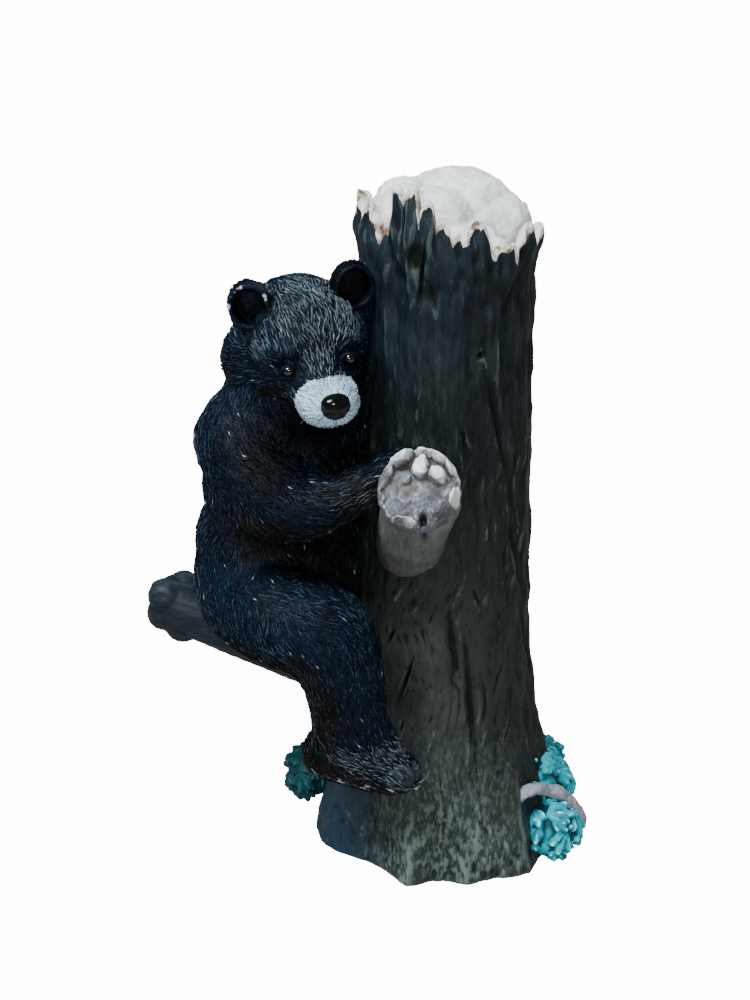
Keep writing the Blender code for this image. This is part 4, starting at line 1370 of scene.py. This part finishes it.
def head_skin():
    skin = fuse(head, 0.21 * MM, 3)
    x, y, z = head_places(points_of(skin)).T
    push = sum(-0.4 * MM * bump(gap, 0, 2.8) * (gap > 1.9) for gap in eye_gaps(x, y, z))
    push -= 0.45 * MM * bump(z + 7.6 + 0.10 * (18 - y), 0, 0.45) * rise(y, 10.5, 13.5)
    push -= 0.35 * MM * bump(x, 0, 0.4) * rise(y, 18, 19.5) * (z < -4) * (z > -8)
    white, in_ear, near_eye = face_marks(push_out(skin, push))
    carve_fur(skin, head_lie, 0.15 * MM, 0.09 * MM, np.clip(1 - 0.8 * white - in_ear - near_eye, 0.05, 1))
    skin = thinned(skin, 110000)
    points = points_of(skin)
    x, y, z = head_places(points).T
    white, in_ear, near_eye = face_marks(points)
    brow = bump(z, 10.5, 5.5) * rise(y, -6, 1) * (1 - 0.4 * rise(x, 0, 7))
    bridge = bump(x, 0, 2.6) * bump(y, 14.5, 3.0) * (z > -2)
    cheek = bump(z, -5, 4.5) * rise(y, 14, 10) * rise(y, 2, 6)
    worn = in_ear * np.clip(crests(skin, 12, 0.25 * MM) * 1.6, 0, 1) * np.where(x > 0, 1, 0.35)
    quiet = rise(z, 3, -3) * rise(y, 16, 13)
    brush = (0.33 + 0.65 * brow + 0.25 * grain(points, 5 * MM, 79)) * (1 - 0.6 * quiet)
    brush += 0.75 * bridge - 0.6 * near_eye
    near_ears = np.max([rise(ring, 1.7, 1.3) * (np.abs(far) < 4) for ring, far in ear_rings(points)], 0)
    nose_gap = np.sqrt(x**2 + (y - 21) ** 2 + (z + 2.6) ** 2)
    bare = (near_eye > 0.4) | (nose_gap < 3.3) | (in_ear > 0.5) | (trunk_gap(points) < BURIED)
    # Low on the jaw the brown-black tint is partly painted shade under the head; deep makes the ear cups
    # near-black and darkens round the eyes and low on the cheeks
    keep(skin, lie=along_surface(head_lie(points), normals_of(skin)), crest=crests(skin, 5, 0.09 * MM),
         muzzle=white, worn=0.62 * worn, furred=np.where(bare, 0, 1),
         warm=np.clip(1.1 * bump(z, -6, 5) * rise(y, 3, 10), 0, 0.9),
         brush=np.clip(np.where(in_ear > 0.5, 0.5 * worn, brush), 0, 1),
         deep=np.clip(0.9 * in_ear * (worn < 0.2) + 0.35 * cheek + 0.5 * near_eye, 0, 0.9),
         pile=np.clip(0.42 + 0.05 * (20 - y), 0.42, 1.15) * (1 - 0.6 * near_ears))
    return skin


def nose_skin():
    """The nose, with its nostrils pressed in."""
    skin = fuse(nose, 0.16 * MM, 5)
    x, y, z = head_places(points_of(skin)).T
    nostrils = sum(bump(x, 1.45 * side, 0.75) * bump(z, -3.3, 0.6) * (y > 20) for side in (-1, 1))
    push_out(skin, -0.55 * MM * nostrils)
    return thinned(skin, 6000)


def trunk_skin():
    skin = trunk()
    points = points_of(skin)
    z = points[:, 2] / MM
    degrees = np.degrees(np.arctan2(points[:, 1], points[:, 0])) % 360
    low = rise(z, 38, 0)
    # Painted cool light: blue on the roots at the left, where the light from the left falls, and a little
    # slate blue near the top
    blue = np.clip(bump(turn_between(degrees, 195), 0, 28) * low * 1.3, 0, 0.85) + 0.15 * rise(z, 85, 115)
    front = bump(turn_between(degrees, 262), 0, 45)
    brush = np.clip(0.2 + 1.2 * low * front + 0.35 * grain(points, 12 * MM, 5), 0.06, 1) * rise(z, 0, 1.5)
    keep(skin, blue=np.clip(blue, 0, 0.9), low=np.clip(low * 1.5 * front, 0, 1), mid=rise(z, 84, 56) * front,
         high=rise(z, 106, 130), brush=brush)
    return plain_crest(skin, 6, 0.16 * MM)


def streaked_log(shape, voxel, rounds, line, depth, most):
    """A branch with fine grooves along it."""
    skin = fuse(shape, voxel, rounds)
    points = points_of(skin)
    start, end = (np.array(point) for point in line)
    way = (end - start) / np.linalg.norm(end - start)
    drawn = points - np.outer((points - start) @ way * 0.88, way)
    push_out(skin, depth * layered_grain(drawn, 1.3 * MM, 3, 21))
    return plain_crest(thinned(skin, most))


def stub_skin():
    """The front stub, with a crack from the hole down its side."""
    skin = streaked_log(stub, 0.34 * MM, 6, stub_line(), 0.22 * MM, 36000)
    right, up, out = stub_places(points_of(skin)).T
    reach = np.clip((out + 3 + CRACK_REACH) / 4, 0, 1)
    crack = bump(right, HOLE[0] + 0.2 + 0.06 * (out + 3), 0.45) * reach * (up < 0)
    push_out(skin, -0.7 * MM * crack)
    keep(skin, dark=crack)
    return skin


def roughened(shape, voxel, rounds, coarse, fine, most, flat=False):
    """Clay with a lumpy and a fine grain, and with no more than so many triangles."""
    skin = fuse(shape, voxel, rounds)
    points = points_of(skin)
    push_out(skin, coarse * layered_grain(points, 3.2 * MM, 3, 12) + fine * grain(points, 0.6 * MM, 14))
    skin = thinned(skin, most)
    if flat:
        cut_flat(skin)
    return plain_crest(skin)


def make_pieces():
    tree = stroke_tree()
    fur, hair = fur_paint("bear_black", False), fur_paint("bear_black_hair", True)
    body_mesh, head_mesh = body_skin(), head_skin()
    body_fur = strokes("bear_body_fur", body_mesh, hair, tree, 0.60 * MM, 2.4 * MM, 0.025, 1)
    head_fur = strokes("bear_head_fur", head_mesh, hair, tree, 0.48 * MM, 2.7 * MM, 0.02, 2)
    piece("bear_body", body_mesh, fur)
    piece("bear_head", head_mesh, fur)
    piece("bear_body_fur", body_fur, hair)
    piece("bear_head_fur", head_fur, hair)
    piece("bear_nose", nose_skin(), gloss_paint("nose_black", 0.3, 0.10))
    piece("bear_eyes", thinned(fuse(eyes, 0.12 * MM, 1), 4000), gloss_paint("eye_black", 1.0, 0.0))
    piece("tree_trunk", trunk_skin(), bark_paint())
    piece("perch_branch", streaked_log(perch, 0.42 * MM, 4, perch_line(), 0.26 * MM, 42000),
          branch_paint("perch_blue_grey", (0.0032, 0.0090, 0.0160), (0.0052, 0.0095, 0.0132),
                       (0.018, 0.031, 0.044), 0.5, (0.1, 1.0, 0.6)))
    piece("stub_branch", stub_skin(),
          branch_paint("stub_lavender_grey", (0.115, 0.123, 0.116), (0.085, 0.092, 0.088),
                       (0.185, 0.19, 0.18), 0.5, (1.0, 0.25, 0.25)))
    piece("stub_torn_end", torn_end_skin(),
          white_paint("torn_wood_white", (0.96, 1.0, 1.0), (0.46, 0.52, 0.58), (0.075, 0.055, 0.040), 0.8))
    piece("snow_cap", roughened(snow, 0.36 * MM, 3, 0.5 * MM, 0.07 * MM, 40000),
          white_paint("snow_white", (0.84, 0.88, 0.87), (0.58, 0.63, 0.64), (0.22, 0.23, 0.23), 0.35))
    pines = roughened(pine, 0.27 * MM, 1, 0.05 * MM, 0.02 * MM, 118000, flat=True)
    # far marks the clumps to the left for painted shade
    keep(pines, far=rise(points_of(pines)[:, 0], 0, -10 * MM))
    piece("pine_clumps", pines, pine_paint())
    piece("pine_twig", roughened(twig, 0.2 * MM, 1, 0.6 * MM, 0.10 * MM, 14000),
          branch_paint("twig_grey", (0.20, 0.21, 0.25), (0.27, 0.28, 0.33), (0.62, 0.64, 0.68), 0.9,
                       (1.0, 1.0, 1.0)))


# Studio

def soft_light(name, place, size, power, colour, aim=(-0.015, 0, 0.08)):
    lamp = bpy.data.lights.new(name, "AREA")
    lamp.shape, lamp.size, lamp.energy, lamp.color = "DISK", size, power, colour
    obj = in_scene(name, lamp)
    obj.location = place
    obj.rotation_euler = (Vector(aim) - Vector(place)).to_track_quat("-Z", "Y").to_euler()


def studio():
    scene = bpy.context.scene
    lens = bpy.data.cameras.new("photo_view")
    lens.lens, lens.sensor_width, lens.clip_start = 54, 36, 0.01
    scene.camera = in_scene("photo_view", lens)
    scene.camera.location = (-0.0157, -0.2756, 0.2022)
    scene.camera.rotation_euler = (math.radians(90 - 24.4), 0, 0)

    clay = bmesh.new()
    bmesh.ops.create_grid(clay, x_segments=1, y_segments=1, size=3)
    mesh = bpy.data.meshes.new("studio_floor")
    clay.to_mesh(mesh)
    clay.free()
    floor = in_scene("studio_floor", mesh)
    pale = Paint("floor_pale")
    seen = pale.add("ShaderNodeLightPath").outputs["Is Camera Ray"]
    names = ("Base Color", "Roughness", "Specular IOR Level", "Emission Color", "Emission Strength")
    values = (rgb(0.3, 0.3, 0.3), 0.9, 0.0, rgb(1, 1, 1), pale.times(seen, GLOW))
    pale.feed([pale.shader[name] for name in names], values)
    mesh.materials.append(pale.material)

    world = bpy.data.worlds.new("studio")
    world.use_nodes = True
    sky = Palette(world.node_tree)
    seen = sky.add("ShaderNodeLightPath").outputs["Is Camera Ray"]
    back = world.node_tree.nodes["Background"].inputs
    sky.feed([back["Color"], back["Strength"]], (rgb(0.93, 0.97, 1.0), sky.scaled(seen, GLOW, SKY_LIGHT)))
    scene.world = world
    soft_light("high_light", (-0.30, -0.28, 0.75), 0.32, 12.0, (0.90, 0.96, 1.0))
    soft_light("front_light", (0.05, -0.85, 0.50), 0.14, 5.0, (1.0, 0.99, 0.97))
    soft_light("back_light", (0.45, 0.6, 0.6), 0.5, 3.0, (1.0, 1.0, 1.0))


make_pieces()
studio()
